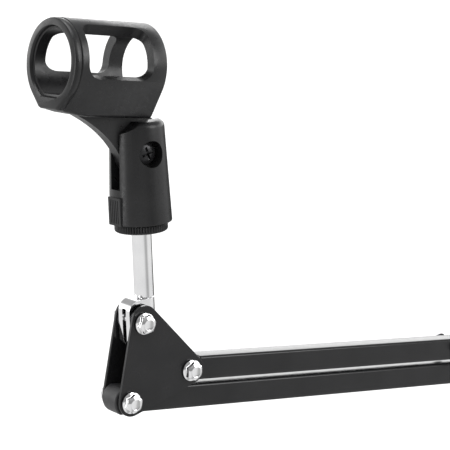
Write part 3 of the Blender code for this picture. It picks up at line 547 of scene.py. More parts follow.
# head on the near side, nut on the far side
def boltMesh(name, turn):
    seat, foot, flats, shankRadius = (bolts[key] for key in ("seat", "headFoot", "acrossFlats", "shank"))
    toNear = Matrix.Rotation(pi / 2, 4, "X")          # local Z to -Y
    toFar = Matrix.Rotation(-pi / 2, 4, "X")
    head = [flangeMesh("flange"), hexMesh("hexagon", flats, foot, bolts["headHeight"])]
    for mesh in head:
        mesh.transform(Matrix.Translation((0, -seat, 0)) @ toNear @ Matrix.Rotation(turn, 4, "Z"))
    hollow = shankRadius + bolts["nutClearance"]
    nut = [flangeMesh("flange", hollow), hexMesh("nut", flats, foot, bolts["nutHeight"], hollow)]
    for mesh in nut:
        mesh.transform(Matrix.Translation((0, seat, 0)) @ toFar @ Matrix.Rotation(turn + 0.4, 4, "Z"))
    shank = rod("shank", shankRadius, (0, -seat - 0.0003, 0), (0, bolts["threadStart"], 0))
    thread = threadMesh("thread", shankRadius, bolts["threadDepth"], bolts["pitch"], bolts["threadStart"],
                        bolts["tip"])
    thread.transform(toFar)
    return joined(name, *head, *nut, shank, thread)


# each bolt's place, and how far its head happened to be turned when it was tightened
boltPlaces = {
    "head_bolt_fork": (forkPivot, 0.12), "head_bolt_rear": (headTop, 0.5), "head_bolt_bottom": (headBottom, 0.3),
    "elbow_bolt_lower_front": (elbowFront, 0.2), "elbow_bolt_lower_rear": (elbowRear, 0.7),
    "elbow_bolt_upper_bottom": (elbowBottom, 0.45), "elbow_bolt_upper_top": (elbowTop, 0.05),
    "base_bolt_front": (baseFront, 0.6), "base_bolt_rear": (baseRear, 0.15), "base_bolt_post": (postBolt, 0.35),
}
for name, (at, turn) in boltPlaces.items():
    piece(name + "_set", boltMesh(name, turn), name, inPlane(at), angle=28)
print("bolts done")


# the fork that holds the rod, seen along the arm; its corners start at the lower left
fork = {"left": -0.0049, "top": 0.0089, "bottom": -0.0115, "radius": 0.00405, "rodX": 0.0052,
        "corners": [0.0045, 0.004, 0, 0.0048], "slot": 0.00135, "slotTop": 0.0055, "hole": 0.0028,
        "spigotDepth": 0.0027, "edge": 0.00075}


def forkMesh(name):
    right = fork["rodX"] + fork["radius"]
    side = fillet([(fork["left"], fork["bottom"]), (right, fork["bottom"]), (right, fork["top"]),
                   (fork["left"], fork["top"])], fork["corners"], 14)
    body = prism(name, side, -fork["radius"], fork["radius"])
    plan = arc((fork["rodX"], 0), fork["radius"], -pi / 2, pi / 2, 32)
    plan += [(fork["left"] - 0.001, fork["radius"]), (fork["left"] - 0.001, -fork["radius"])]
    stadium = prism("plan", plan, fork["bottom"] - 0.001, fork["top"] + 0.001, "XY")
    slot = block("slot", (-0.03, -fork["slot"], -0.03), (0.03, fork["slot"], fork["slotTop"]))
    hole = crossHole(fork["hole"])
    spigotFoot = (fork["rodX"], 0, fork["top"] - fork["spigotDepth"])
    spigot = rod("spigot", fork["hole"], spigotFoot, (fork["rodX"], 0, through), 40)
    return carve(body, ("INTERSECT", stadium), slot, hole, spigot)


piece("fork_casting", forkMesh("fork"), "rod_fork", inPlane(forkPivot), edge=fork["edge"], segments=4)

# the rod, plain below the clip and threaded inside it
upright = {"point": 0.0034, "bevel": 0.0007, "spigot": 0.0025, "pitch": 0.0012, "depth": 0.0004,
           "ringStep": 0.0002, "threadEnd": 0.001}
low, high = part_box("mount_rod")
rodTop, rodFoot, spigotEnd = high.z - forkPivot.z, fork["top"] + 0.0003, low.z - forkPivot.z
rodProfile = [(0, rodTop), (upright["point"], rodTop), (fork["radius"], rodTop - upright["bevel"]),
              (fork["radius"], rodFoot + 0.00005), (upright["spigot"], rodFoot),
              (upright["spigot"], spigotEnd), (0, spigotEnd)]
rodProfile = fillet(rodProfile, [0, 0.0002, 0.0003, 0.0003, 0, 0, 0], 4, closed=False)
plainTop = pivots["clip_swivel"].z - forkPivot.z + 0.0006


def rodThread(angle, r, z):
    if z < plainTop or r < fork["radius"] - 0.00015 or z > rodTop - upright["bevel"]:
        return r
    phase = (z / upright["pitch"] - angle / tau) % 1.0
    fade = min(1.0, (z - plainTop) / upright["threadEnd"])
    return r - upright["depth"] * fade * (1 - abs(2 * phase - 1))


threadTop, ringStep = rodTop - upright["threadEnd"], upright["ringStep"]
threadCount = int((threadTop - plainTop) / ringStep)
rodRings = [p for p in rodProfile if p[1] >= threadTop and p[0] <= fork["radius"]]
rodRings += [(fork["radius"], threadTop - ringStep * i) for i in range(1, threadCount)]
rodRings += [p for p in rodProfile if p[1] < threadTop]
rodAt = Matrix.Translation((forkPivot.x + fork["rodX"], 0, forkPivot.z))
piece("threaded_rod", turned("rod", rodRings, 72, rodThread), "mount_rod", rodAt, "rod_chrome", angle=40)

washer = {"outer": 0.0048, "inner": 0.0028, "thick": 0.0007, "round": 0.0001}
for word in ("near", "far"):
    low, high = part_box("fork_washer_" + word)
    outer, inner, thick = washer["outer"], washer["inner"], washer["thick"]
    section = fillet([(outer, thick), (outer, 0), (inner, 0), (inner, thick)], washer["round"], 2)
    spacer = turned("washer", section, 48)
    place = Matrix.Translation((forkPivot.x, low.y, forkPivot.z)) @ Matrix.Rotation(-pi / 2, 4, "X")
    spacer.transform(Matrix.Scale((high.y - low.y) / thick, 4, (0, 0, 1)))
    piece(f"fork_spacer_{word}", spacer, "fork_washer_" + word, place)
print("fork and rod done")


# the clip's own frame: X towards the mouth, Z up the rod
tiltAxis = Vector(joints["clip_tilt"]["axis"])
clipPivot = pivots["clip_tilt"]
yaw = atan2(-tiltAxis.x, tiltAxis.y)
rodAxis = Vector((pivots["clip_swivel"].x, 0, 0))
clipPlace = Matrix.Translation((rodAxis.x, 0, headBottom.z)) @ Matrix.Rotation(pi + yaw, 4, "Z")
localPivot = clipPlace.inverted() @ clipPivot

ring = {"bottom": 0.0680, "top": 0.0715, "radius": 0.0108, "ridges": 60, "depth": 0.0004, "bore": 0.00435}


def ridged(angle, r, z):
    if r < ring["radius"] - 0.0009:
        return r
    wave = abs(((angle / tau * ring["ridges"]) % 1.0) * 2 - 1)
    return r - ring["depth"] * (1 - min(1.0, wave * 1.8)) ** 0.7


ringProfile = [(ring["bore"], ring["top"]), (ring["radius"] - 0.0012, ring["top"]),
               (ring["radius"] - 0.0002, ring["top"] - 0.0001), (ring["radius"], ring["top"] - 0.0003),
               (ring["radius"], ring["bottom"] + 0.0009), (ring["radius"] - 0.0002, ring["bottom"] + 0.0005),
               (ring["radius"] - 0.0007, ring["bottom"] + 0.00015),
               (ring["radius"] - 0.0014, ring["bottom"]), (ring["bore"], ring["bottom"])]
piece("ribbed_ring", turned("ribbedRing", ringProfile, ring["ridges"] * 8, ridged), "knurled_ring", clipPlace)

clip = {"bottom": 0.0718, "top": 0.1128, "bottomRadius": 0.01265, "topRadius": 0.0109, "socket": 0.0082,
        "socketTop": 0.0836, "slotBottom": 0.0862, "slotHalf": 0.0029, "recess": 0.0053, "recessFloor": 0.0058,
        "corners": [0, 0.0026, 0.0005, 0.0003, 0.0002, 0], "nutPocket": 0.0044, "nutFloor": 0.0070,
        "screwHole": 0.0023, "slopeStart": 0.0030, "slopeEnd": 0.0136, "slopeDrop": 0.0062,
        "tabHalf": 0.0040, "tabTop": 0.0832, "tabRibs": 5, "ribGap": 0.0012, "ribHalf": 0.0002,
        "ribLow": 0.0728, "ribHigh": 0.0822, "edge": 0.0003}
insert = {"radius": 0.0079, "round": 0.0003, "gap": 0.0003, "plainEnd": 0.0012, "teeth": 30, "depth": 0.0003}
insertLow, insertHigh = clip["bottom"] + insert["gap"], clip["socketTop"] - insert["gap"]


def knurled(angle, r, z):
    if r <= 0.006:
        return r
    raised = (angle / tau * insert["teeth"]) % 1.0 >= 0.4
    return r if raised or not insertLow + 0.001 < z < insertHigh - 0.001 else r - insert["depth"]


insertProfile = [(ring["bore"], insertHigh), (insert["radius"] - insert["round"], insertHigh),
                 (insert["radius"], insertHigh - insert["round"]),
                 (insert["radius"], insertHigh - insert["plainEnd"]),
                 (insert["radius"], insertLow + insert["plainEnd"]),
                 (insert["radius"], insertLow + insert["round"]),
                 (insert["radius"] - insert["round"], insertLow), (ring["bore"], insertLow)]
piece("brass_insert", turned("insert", insertProfile, 120, knurled), "thread_insert", clipPlace)


def clipBaseMesh(name):
    top, bottom = clip["top"], clip["bottom"]
    outer = fillet([(0, top), (clip["topRadius"], top), (clip["bottomRadius"], bottom), (clip["socket"], bottom),
                    (clip["socket"], clip["socketTop"]), (0, clip["socketTop"])],
                   clip["corners"], 9, closed=False)
    body = turned(name, outer, 96)
    slot = block("slot", (-0.03, -clip["slotHalf"], clip["slotBottom"]), (0.03, clip["slotHalf"], top + spare))
    slopeFoot = top - clip["slopeDrop"]
    slope = prism("slope", [(clip["slopeStart"], top + 0.0008), (clip["slopeEnd"], slopeFoot), (0.03, slopeFoot),
                            (0.03, top + spare), (clip["slopeStart"], top + spare)], -through, through)
    x, z = localPivot.x, localPivot.z
    cuts = [slot, slope, crossHole(clip["screwHole"], x, z, 32),
            rod("recess", clip["recess"], (x, clip["recessFloor"], z), (x, through, z), 56),
            rod("nutPocket", clip["nutPocket"], (x, -clip["nutFloor"], z), (x, -through, z), 6)]
    # front tab, slightly raised, with shallow upright ribs
    face = clip["bottomRadius"]
    tab = block("tab", (face - 0.0035, -clip["tabHalf"], bottom + 0.0001),
                (face + 0.0001, clip["tabHalf"], clip["tabTop"]))
    for i in range(clip["tabRibs"]):
        y = clip["ribGap"] * (i - (clip["tabRibs"] - 1) / 2)
        cuts.append(block("rib", (face - 0.0003, y - clip["ribHalf"], clip["ribLow"]),
                          (face + 0.002, y + clip["ribHalf"], clip["ribHigh"])))
    return carve(body, ("UNION", tab), *cuts)


piece("clip_body", clipBaseMesh("clipBase"), "clip_base", clipPlace, edge=clip["edge"], angle=38)

# the pivot's cross-head screw and its nut
screw = {"seat": 0.0061, "head": 0.0046, "height": 0.0021, "rim": 0.0006, "shank": 0.0020, "end": -0.0100,
         "crossArm": 0.0027, "crossHalf": 0.00055, "crossTurn": 0.3, "crossFloor": 0.0005, "crossSide": 0.0016}
nutSize = {"seat": 0.0073, "acrossFlats": 0.0069, "height": 0.0024, "hole": 0.0023}


def screwMesh(name):
    head = [(0, screw["height"] * 0.98)]
    dome = screw["height"] - screw["rim"]
    head += [(screw["head"] * sin(radians(a)), screw["rim"] + dome * cos(radians(a)) ** 0.9)
             for a in range(12, 91, 6)]
    head += [(screw["head"], 0.0002), (screw["head"] - 0.0002, 0), (screw["shank"], 0), (screw["shank"], -0.0004),
             (0, -0.0004)]
    cap = turned("cap", head, 64)
    arm, half, side, bed = (screw[key] for key in ("crossArm", "crossHalf", "crossSide", "crossFloor"))
    over = screw["height"] + 0.001
    cuts = []
    for turn in (screw["crossTurn"], screw["crossTurn"] + pi / 2):
        wedge = prism("wedge", [(-arm, over), (-arm, side), (-0.0007, bed), (0.0007, bed),
                                (arm, side), (arm, over)], -half, half)
        wedge.transform(Matrix.Rotation(turn, 4, "Z"))
        cuts.append(wedge)
    cap = carve(cap, *cuts)
    shank = threadMesh("shank", screw["shank"], bolts["threadDepth"], bolts["pitch"],
                       screw["end"] - screw["seat"], 0)
    return joined(name, cap, shank)


pivotAt = clipPlace @ Matrix.Translation((localPivot.x, 0, localPivot.z))
screwAt = pivotAt @ Matrix.Translation((0, screw["seat"], 0)) @ Matrix.Rotation(-pi / 2, 4, "X")
piece("cross_screw", screwMesh("screw"), "clip_screw", screwAt, "black_screw", angle=30)
nutAt = pivotAt @ Matrix.Translation((0, -nutSize["seat"], 0)) @ Matrix.Rotation(pi / 2, 4, "X")
nut = hexMesh("nut", nutSize["acrossFlats"], 0, nutSize["height"], nutSize["hole"])
piece("pivot_nut", nut, "clip_nut", nutAt, angle=28)
print("clip base done")


# the barrel in its own frame: X along the bore, Z up, the axis at 0
barrel = {"tilt": radians(7.8), "height": 0.1339, "back": -0.0036, "front": 0.0393, "radius": 0.0174,
          "bore": 0.0130, "floor": 0.0120, "blockDepth": 0.0197, "blockHalf": 0.0088, "mouthHalf": 0.0066,
          "mouthDepth": 0.0178, "underRound": 0.0025, "windowStart": 0.0031, "windowEnd": 0.0330,
          "windowLow": radians(-16), "windowHigh": radians(62), "windowCorner": 0.0055,
          "windowReach": (0.008, 0.024), "lip": 0.0032, "edge": 0.0003}
# the neck in the clip's frame: its front curve, the corners hidden in the barrel, and its foot round the pivot
neckSize = {"half": 0.0026, "foot": 0.009, "footEnd": radians(13), "hole": 0.0023,
            "front": ((0.0098, 0.0982), (0.0130, 0.1060), (0.0220, 0.1155), (0.0385, 0.1226)),
            "hidden": [(0.0385, 0.1250), (-0.0030, 0.1185), (-0.0034, 0.1145)]}


def bezier(a, b, c, d, steps):
    points = []
    for i in range(steps + 1):
        t = i / steps
        weights = ((1 - t) ** 3, 3 * (1 - t) ** 2 * t, 3 * (1 - t) * t * t, t ** 3)
        points.append((sum(w * p[0] for w, p in zip(weights, (a, b, c, d))),
                       sum(w * p[1] for w, p in zip(weights, (a, b, c, d)))))
    return points


# a window cut straight towards the axis, so its corners are as round inside as outside
def windowMesh(side):
    low, high = barrel["windowLow"], barrel["windowHigh"]
    start, end, radius = barrel["windowStart"], barrel["windowEnd"], barrel["radius"]
    unrolled = [(start, low * radius), (end, low * radius), (end, high * radius), (start, high * radius)]
    outline = fillet(unrolled, barrel["windowCorner"], 12)
    spaced = []
    for i, (x, run) in enumerate(outline):
        lastX, lastRun = outline[i - 1]
        count = max(1, int(abs(run - lastRun) / 0.0012))
        for k in range(1, count + 1):
            spaced.append((lastX + (x - lastX) * k / count, lastRun + (run - lastRun) * k / count))
    built = bmesh.new()
    shells = []
    for reach in barrel["windowReach"]:
        shell = []
        for x, run in spaced:
            angle = run / radius
            shell.append(built.verts.new((x, side * reach * cos(angle), reach * sin(angle))))
        shells.append(shell)
    inner, outer = shells
    for i in range(len(spaced)):
        j = (i + 1) % len(spaced)
        built.faces.new((inner[i], inner[j], outer[j], outer[i]))
    centre = (low + high) / 2
    for shell, reach in zip(shells, barrel["windowReach"]):
        hub = built.verts.new(((start + end) / 2, side * reach * cos(centre), reach * sin(centre)))
        for i in range(len(shell)):
            built.faces.new((hub, shell[i], shell[(i + 1) % len(shell)]))
    return meshOf(built, "window")


# a circle standing on a block of half width half and depth depth
def barrelOutline(inset, half, depth):
    radius = barrel["radius"] - inset
    widest = atan2(depth, half) - acos(radius / hypot(half, depth))
    outline = arc((0, 0), radius, -widest, pi + widest, 110)
    underside = [outline[-1], (-half, -depth), (half, -depth), outline[0]]
    return outline + fillet(underside, barrel["underRound"], 8, closed=False)[1:-1]


# the bore, with a flat floor
def boreOutline(grow):
    radius = barrel["bore"] + grow
    low = asin((barrel["floor"] + grow) / radius)
    return arc((0, 0), radius, -low, pi + low, 96)


def barrelMesh(name):
    back, front, lip = barrel["back"], barrel["front"], barrel["lip"]
    half, depth = barrel["blockHalf"], barrel["blockDepth"]
    mouthHalf, mouthDepth = barrel["mouthHalf"], barrel["mouthDepth"]
    # from the back edge, along the block that narrows to the mouth, over the groove and the lip
    body = loft(name, [
        (back, barrelOutline(0.0007, half - 0.0005, depth - 0.0005)),
        (back + 0.0002, barrelOutline(0.0003, half - 0.0002, depth - 0.0002)),
        (back + 0.0007, barrelOutline(0.0, half, depth)),
        (front - 0.0130, barrelOutline(0.0, half, depth)),
        (front - 0.0080, barrelOutline(0.0, half * 0.7 + mouthHalf * 0.3, depth * 0.7 + mouthDepth * 0.3)),
        (front - lip - 0.0003, barrelOutline(0.0, mouthHalf + 0.0003, mouthDepth + 0.0004)),
        (front - lip, barrelOutline(0.0004, mouthHalf, mouthDepth + 0.0001)),
        (front - lip + 0.0005, barrelOutline(0.00015, mouthHalf, mouthDepth)),
        (front - 0.0010, barrelOutline(0.00015, mouthHalf, mouthDepth)),
        (front - 0.0003, barrelOutline(0.00045, mouthHalf - 0.0002, mouthDepth - 0.0004)),
        (front, barrelOutline(0.0011, mouthHalf - 0.0006, mouthDepth - 0.0010)),
    ])
    bore = loft("bore", [
        (-0.03, boreOutline(0.0)), (front - 0.0016, boreOutline(0.0)), (front - 0.0014, boreOutline(0.0007)),
        (front - 0.0006, boreOutline(0.0008)), (front, boreOutline(0.0013)), (0.06, boreOutline(0.0013)),
    ])
    x, z = localPivot.x, localPivot.z
    tilted = Matrix.Translation((-x, 0, barrel["height"] - z)) @ Matrix.Rotation(-barrel["tilt"], 4, "Y")
    windows = [windowMesh(-1), windowMesh(1)]
    for mesh in (body, bore, *windows):
        mesh.transform(tilted)
    side = bezier(*neckSize["front"], 32) + neckSize["hidden"]
    side += arc((x, z), neckSize["foot"], pi, tau - neckSize["footEnd"], 48)[:-1]
    neck = prism("neck", [(a - x, b - z) for a, b in side], -neckSize["half"], neckSize["half"])
    hole = crossHole(neckSize["hole"], sides=32)
    return carve(body, ("UNION", neck), bore, hole, *windows)


piece("ring_clip", barrelMesh("barrel"), "clip_barrel", pivotAt, edge=barrel["edge"], segments=2, angle=40)
print("barrel done")


# coil springs; the body is the length less the two hooks
spring = {"side": 0.0123, "coil": 0.0032, "wire": 0.0006, "pitch": 0.00132, "hook": 0.0032, "perTurn": 14,
          "coilStart": 0.010, "coilEnd": 0.030, "hookSweep": (radians(-60), radians(-360))}


def springMesh(name, length):
    start, end = spring["coilStart"], length - spring["coilEnd"]
    hook = arc((0, 0), spring["hook"], *spring["hookSweep"], 22)
    turns = int((end - start) / spring["pitch"])
    points = [(x, 0, z) for x, z in hook]
    points += [(0.0055, 0, 0), (0.0078, 0, 0.0008), (start - 0.0006, 0, spring["coil"] * 0.8)]
    steps = turns * spring["perTurn"]
    for i in range(steps + 1):
        angle, x = tau * i / spring["perTurn"], start + (end - start) * i / steps
        points.append((x, spring["coil"] * sin(angle), spring["coil"] * cos(angle)))
    points += [(end + 0.0016, 0, spring["coil"] * 0.7), (end + 0.004, 0, 0.0007), (end + 0.007, 0, 0)]
    points += [(length - 0.0060, 0, 0)]
    points += [(length - x, 0, z) for x, z in arc((0, 0), spring["hook"], *spring["hookSweep"][::-1], 22)]
    return tube(name, points, spring["wire"], 2)


# each pair's stud, pin and arm joint, and the share of its length kept at the joint's limit
springSets = {
    "lower_spring": ("lower_spring_swing", "lower_spring_pin", "lower_arm_pitch", 0.9353),
    "upper_spring": ("upper_spring_swing", "upper_spring_pin", "upper_arm_pitch", 0.9070),
}
for name, (stud, pin, joint, keep) in springSets.items():
    start, end = pivots[stud], middle(pin)
    for side, word in ((-1, "near"), (1, "far")):
        place = inPlane(start, slopeFrom(start, end), side * spring["side"])
        mesh = springMesh(name, (end - start).length)
        made = piece(f"{name}_{word}_coil", mesh, f"{name}_{word}", place, angle=60)
        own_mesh(made)
print("springs done")


# studs and cross pins that hold the springs
pins = {"radius": 0.0017, "head": 0.0030, "reach": 0.0134, "headHeight": 0.0014,
        "collarStart": 0.0077, "collarEnd": 0.0087, "seat": 0.0054}


def pinProfile(reach):
    high = reach + pins["headHeight"]
    head = pins["head"]
    return [(pins["radius"], reach - 0.0001), (head - 0.0002, reach - 0.0001), (head, reach + 0.0001),
            (head, reach + 0.0007), (head - 0.0003, high - 0.0003), (head - 0.0008, high), (0, high)]


for name in ("lower_spring_pin", "upper_spring_pin"):
    half = pinProfile(pins["reach"])
    mesh = turned(name, [(r, -z) for r, z in half[::-1]] + half, 40)
    mesh.transform(Matrix.Rotation(pi / 2, 4, "X"))
    piece(name + "_turned", mesh, name, inPlane(middle(name)))
for group, joint in (("base_spring_stud", "lower_spring_swing"), ("elbow_spring_stud", "upper_spring_swing")):
    for side, word in ((-1, "near"), (1, "far")):
        radius, collar, seat = pins["radius"], pins["head"], pins["seat"]
        foot, end = pins["collarStart"], pins["collarEnd"]
        body = [(0, seat), (radius, seat), (radius, foot), (collar, foot), (collar, end - 0.0002),
                (collar - 0.0002, end), (radius, end)]
        mesh = turned(group, body + pinProfile(pins["reach"]), 40)
        mesh.transform(Matrix.Rotation(pi / 2 * -side, 4, "X"))
        piece(f"{group}_{word}_turned", mesh, f"{group}_{word}", inPlane(pivots[joint]))
print("studs done")


# the post that swivels in the clamp
post = {"radius": 0.005, "foot": 0.0085, "seat": 0.0378, "flange": 0.009, "flangeHeight": 0.002,
        "rounds": [0, 0.0005, 0.0004, 0.0003, 0.0008, 0], "halfX": 0.011, "halfY": 0.0051, "hole": 0.0028,
        "edge": 0.0004}
blockTop = baseFront.z - 0.0085
flangeTop = post["seat"] + post["flangeHeight"]
stemProfile = [(0, flangeTop), (post["flange"], flangeTop), (post["flange"], post["seat"]),
               (post["radius"], post["seat"]), (post["radius"], post["foot"]), (0, post["foot"])]
stem = turned("post", fillet(stemProfile, post["rounds"], 4, closed=False), 64)
postBlock = block("postBlock", (-post["halfX"], -post["halfY"], post["seat"] + 0.001),
                  (post["halfX"], post["halfY"], blockTop))
postHole = crossHole(post["hole"], z=postBolt.z)
piece("swivel_post", carve(stem, ("UNION", postBlock), postHole), "base_post", edge=post["edge"])


# the clamp's frame; its outline is in the plane of the arm, from the top jaw round
clamp = {"halfWidth": 0.015, "edge": 0.0008, "boss": 0.011, "bossTop": 0.036, "nutBoss": 0.009,
         "outline": [(-0.030, 0.0018), (0.026, 0.0018), (0.026, -0.070), (-0.014, -0.070), (-0.014, -0.080),
                     (0.034, -0.080), (0.034, 0.010), (-0.030, 0.010)],
         "rounds": [0.002, 0.004, 0.004, 0.003, 0.003, 0.008, 0.006, 0.004],
         "socket": 0.0075, "screwHole": 0.0043, "lockHole": 0.0028, "lockHeight": 0.024}
lockEnds = ((0, -through, clamp["lockHeight"]), (0, 0, clamp["lockHeight"]))


def clampMesh(name):
    outline = fillet(clamp["outline"], clamp["rounds"], 10)
    body = prism(name, outline, -clamp["halfWidth"], clamp["halfWidth"])
    boss = rod("boss", clamp["boss"], (0, 0, 0.009), (0, 0, clamp["bossTop"]), 64)
    nutBoss = rod("nutBoss", clamp["nutBoss"], (0, 0, -0.084), (0, 0, -0.068), 56)
    cuts = [rod("socket", clamp["socket"], (0, 0, 0.008), (0, 0, 0.05), 56),
            rod("screwHole", clamp["screwHole"], (0, 0, -0.1), (0, 0, -0.05), 48),
            rod("lockHole", clamp["lockHole"], *lockEnds, 32)]
    return carve(body, ("UNION", boss), ("UNION", nutBoss), *cuts)


piece("clamp_casting", clampMesh("clamp"), "clamp_frame", edge=clamp["edge"], segments=4)

# the rubber pad under the top jaw, grooved across
jawPad = {"back": -0.028, "front": 0.022, "half": 0.013, "corner": 0.003, "thick": 0.0015, "edge": 0.0002,
          "grooves": 7, "grooveStart": -0.024, "grooveGap": 0.007, "grooveWide": 0.0012, "grooveDeep": 0.0004}


def padMesh(name):
    back, front, half = jawPad["back"], jawPad["front"], jawPad["half"]
    corners = [(back, -half), (front, -half), (front, half), (back, half)]
    body = prism(name, fillet(corners, jawPad["corner"], 8), 0, jawPad["thick"], "XY")
    grooves = []
    for i in range(jawPad["grooves"]):
        x = jawPad["grooveStart"] + jawPad["grooveGap"] * i
        end = (x + jawPad["grooveWide"], through, jawPad["grooveDeep"])
        grooves.append(block("groove", (x, -through, -0.001), end))
    return carve(body, *grooves)


piece("jaw_pad", padMesh("jawPad"), "clamp_jaw_pad", edge=jawPad["edge"], segments=2)

# the plastic bush between post and clamp, drilled for the thumbscrew
bush = {"inner": 0.0053, "outer": 0.0072, "rim": 0.0095, "top": 0.0375, "rimLow": 0.0363, "bottom": 0.0083,
        "rounds": [0.0004, 0.0005, 0.0001, 0.0001, 0.0003, 0.0003]}
bushProfile = [(bush["inner"], bush["top"]), (bush["rim"], bush["top"]), (bush["rim"], bush["rimLow"]),
               (bush["outer"], bush["rimLow"]), (bush["outer"], bush["bottom"]), (bush["inner"], bush["bottom"])]
bushMesh = turned("bush", fillet(bushProfile, bush["rounds"], 4), 64)
bushHole = rod("hole", clamp["lockHole"], *lockEnds, 32)
piece("post_bush", carve(bushMesh, bushHole), "socket_bush", angle=30)

# the plate that presses up under the desk, with a grooved rubber face
press = {"top": -0.028, "padRadius": 0.012, "padThick": 0.0015, "grooves": 3, "grooveStart": 0.0035,
         "grooveGap": 0.0028, "grooveDeep": 0.0003}
padRadius, padThick, deep = press["padRadius"], press["padThick"], press["grooveDeep"]
padProfile = [(0, 0)]
for i in range(press["grooves"]):
    r = press["grooveStart"] + press["grooveGap"] * i
    padProfile += [(r, 0), (r + 0.0002, -deep), (r + 0.0008, -deep), (r + 0.001, 0)]
padProfile += fillet([(0, 0), (padRadius, 0), (padRadius, -padThick), (0, -padThick)],
                     [0, 0.0004, 0.0003, 0], 4, closed=False)[1:]
atPress = Matrix.Translation((0, 0, press["top"]))
piece("press_pad", turned("pressPad", padProfile, 72), "clamp_press_pad", atPress, angle=30)
dish = [(0, -0.0018), (0.013, -0.0018), (0.013, -0.0034), (0.0112, -0.0048), (0.0066, -0.0056), (0.0066, -0.0112),
        (0.0043, -0.0112), (0.0043, -0.0047), (0, -0.0047)]
dish = fillet(dish, [0, 0.0005, 0.0006, 0.0012, 0.0008, 0.0006, 0.0003, 0.0002, 0], 5, closed=False)
piece("press_dish", turned("pressDish", dish, 72), "clamp_press_plate", atPress, angle=40)

longScrew = {"radius": 0.004, "depth": 0.0006, "pitch": 0.002}
low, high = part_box("clamp_screw")
screwMade = threadMesh("clampScrew", longScrew["radius"], longScrew["depth"], longScrew["pitch"],
                       low.z, high.z, 40, 10)
piece("long_screw", screwMade, "clamp_screw", angle=50)

knob = {"radius": 0.014, "lobes": 6, "lobe": 0.0013, "bottom": -0.130, "top": -0.112, "hole": 0.0043,
        "dish": 0.0085, "dishDeep": 0.0012, "rounds": [0.0004, 0.003, 0.0035, 0.0004, 0.0003, 0]}


def lobed(angle, r, z):
    return r + knob["lobe"] * cos(knob["lobes"] * angle) * max(0.0, (r - 0.009) / 0.005)


dishTop, holeEnd = knob["bottom"] + knob["dishDeep"], knob["top"] - 0.012
knobProfile = fillet([(knob["hole"], knob["top"]), (knob["radius"], knob["top"]), (knob["radius"], knob["bottom"]),
                      (knob["dish"], knob["bottom"]), (knob["dish"], dishTop), (0, dishTop)],
                     knob["rounds"], 8, closed=False)
knobProfile = [(0, holeEnd), (knob["hole"], holeEnd)] + knobProfile
piece("turning_knob", turned("knob", knobProfile, 120, lobed), "clamp_knob", angle=40)

# the thumbscrew that locks the post
lock = {"head": -0.0145, "radius": 0.0025, "tip": 0.0053, "collar": 0.0045, "collarLong": 0.004,
        "wingAt": 0.0075, "wing": 0.0045, "waist": 0.0065, "waistAt": 0.0105, "edge": 0.0006}


def thumbMesh(name):
    head, collarRadius, long = lock["head"], lock["collar"], lock["collarLong"]
    toNear = Matrix.Rotation(pi / 2, 4, "X")
    shank = threadMesh("shank", lock["radius"], bolts["threadDepth"], bolts["pitch"], lock["tip"], -head, 32)
    shank.transform(toNear)
    section = fillet([(0, 0), (collarRadius, 0), (collarRadius, long), (0, long)], [0, 0.0004, 0.0004, 0], 4,
                     closed=False)
    collar = turned("collar", section, 48)
    collar.transform(Matrix.Translation((0, head + 0.001, 0)) @ toNear)
    ends = [(-lock["wingAt"], 0), (lock["wingAt"], 0)]
    wings = prism("wings", belt(ends, lock["wing"]), head - 0.012, head - 0.002)
    waist = [rod("waist", lock["waist"], (side * 0.0005, 0.0, side * lock["waistAt"]),
                 (side * 0.0005, -0.05, side * lock["waistAt"]), 40) for side in (-1, 1)]
    wings = carve(wings, *waist)
    return carve(shank, ("UNION", collar), ("UNION", wings))


piece("thumb_screw", thumbMesh("thumbScrew"), "post_lock_screw", Matrix.Translation((0, 0, clamp["lockHeight"])),
      edge=lock["edge"], angle=50)
print("clamp done")

# any frame part still showing takes the finish of its own slot
for name, obj in frame["nodes"].items():
    obj.data.materials.clear()
    obj.data.materials.append(finishes[slotOf[name]])


# floor, daylight from behind, three softboxes and the camera
stage = {"radius": 9.0, "thick": 0.05, "gap": 0.004, "tones": (0.93, 0.96), "rough": 0.9, "shine": 0.1}


def stageMaterial():
    made = bpy.data.materials.new("studio_floor")
    made.use_nodes = True
    tree = made.node_tree
    shader = tree.nodes["Principled BSDF"]
    cloud = node(tree, "ShaderNodeTexNoise", Scale=3.0, Detail=3.0)
    tone = node(tree, "ShaderNodeValToRGB")
    for stop, grey in zip(tone.color_ramp.elements, stage["tones"]):
        stop.color = (grey, grey, grey, 1)
    tree.links.new(cloud.outputs["Fac"], tone.inputs["Fac"])
    tree.links.new(tone.outputs["Color"], shader.inputs["Base Color"])
    shader.inputs["Roughness"].default_value = stage["rough"]
    shader.inputs["Specular IOR Level"].default_value = stage["shine"]
    return made


floorProfile = [(0, 0), (stage["radius"], 0), (stage["radius"], -stage["thick"]), (0, -stage["thick"])]
floorMesh = turned("floor", floorProfile, 96)
floor = bpy.data.objects.new("studio_floor", floorMesh)
floor.location = (0, 0, cadBox[0][2] - stage["gap"])
floorMesh.materials.append(stageMaterial())
scene.collection.objects.link(floor)
floor.visible_glossy = False      # polished pieces mirror the studio round them instead

camera = {"location": (-0.5122, -0.5312, 0.6333), "direction": (0.57046, 0.79499, -0.20646),
          "roll": -1.93, "lens": 128.0}
# brightness of the walls behind the stand and in front of it, overhead, on dull pieces, and as seen
studio = {"behind": 3.0, "front": 0.35, "overhead": 0.5, "ambient": 1.6, "seen": 1.6,
          "ahead": (0.583, 0.812, 0.0), "toRight": (0.812, -0.583, 0.0),
          "wallBlend": (-0.35, 0.55), "horizon": (-0.06, 0.04), "zenith": (0.3, 0.5)}
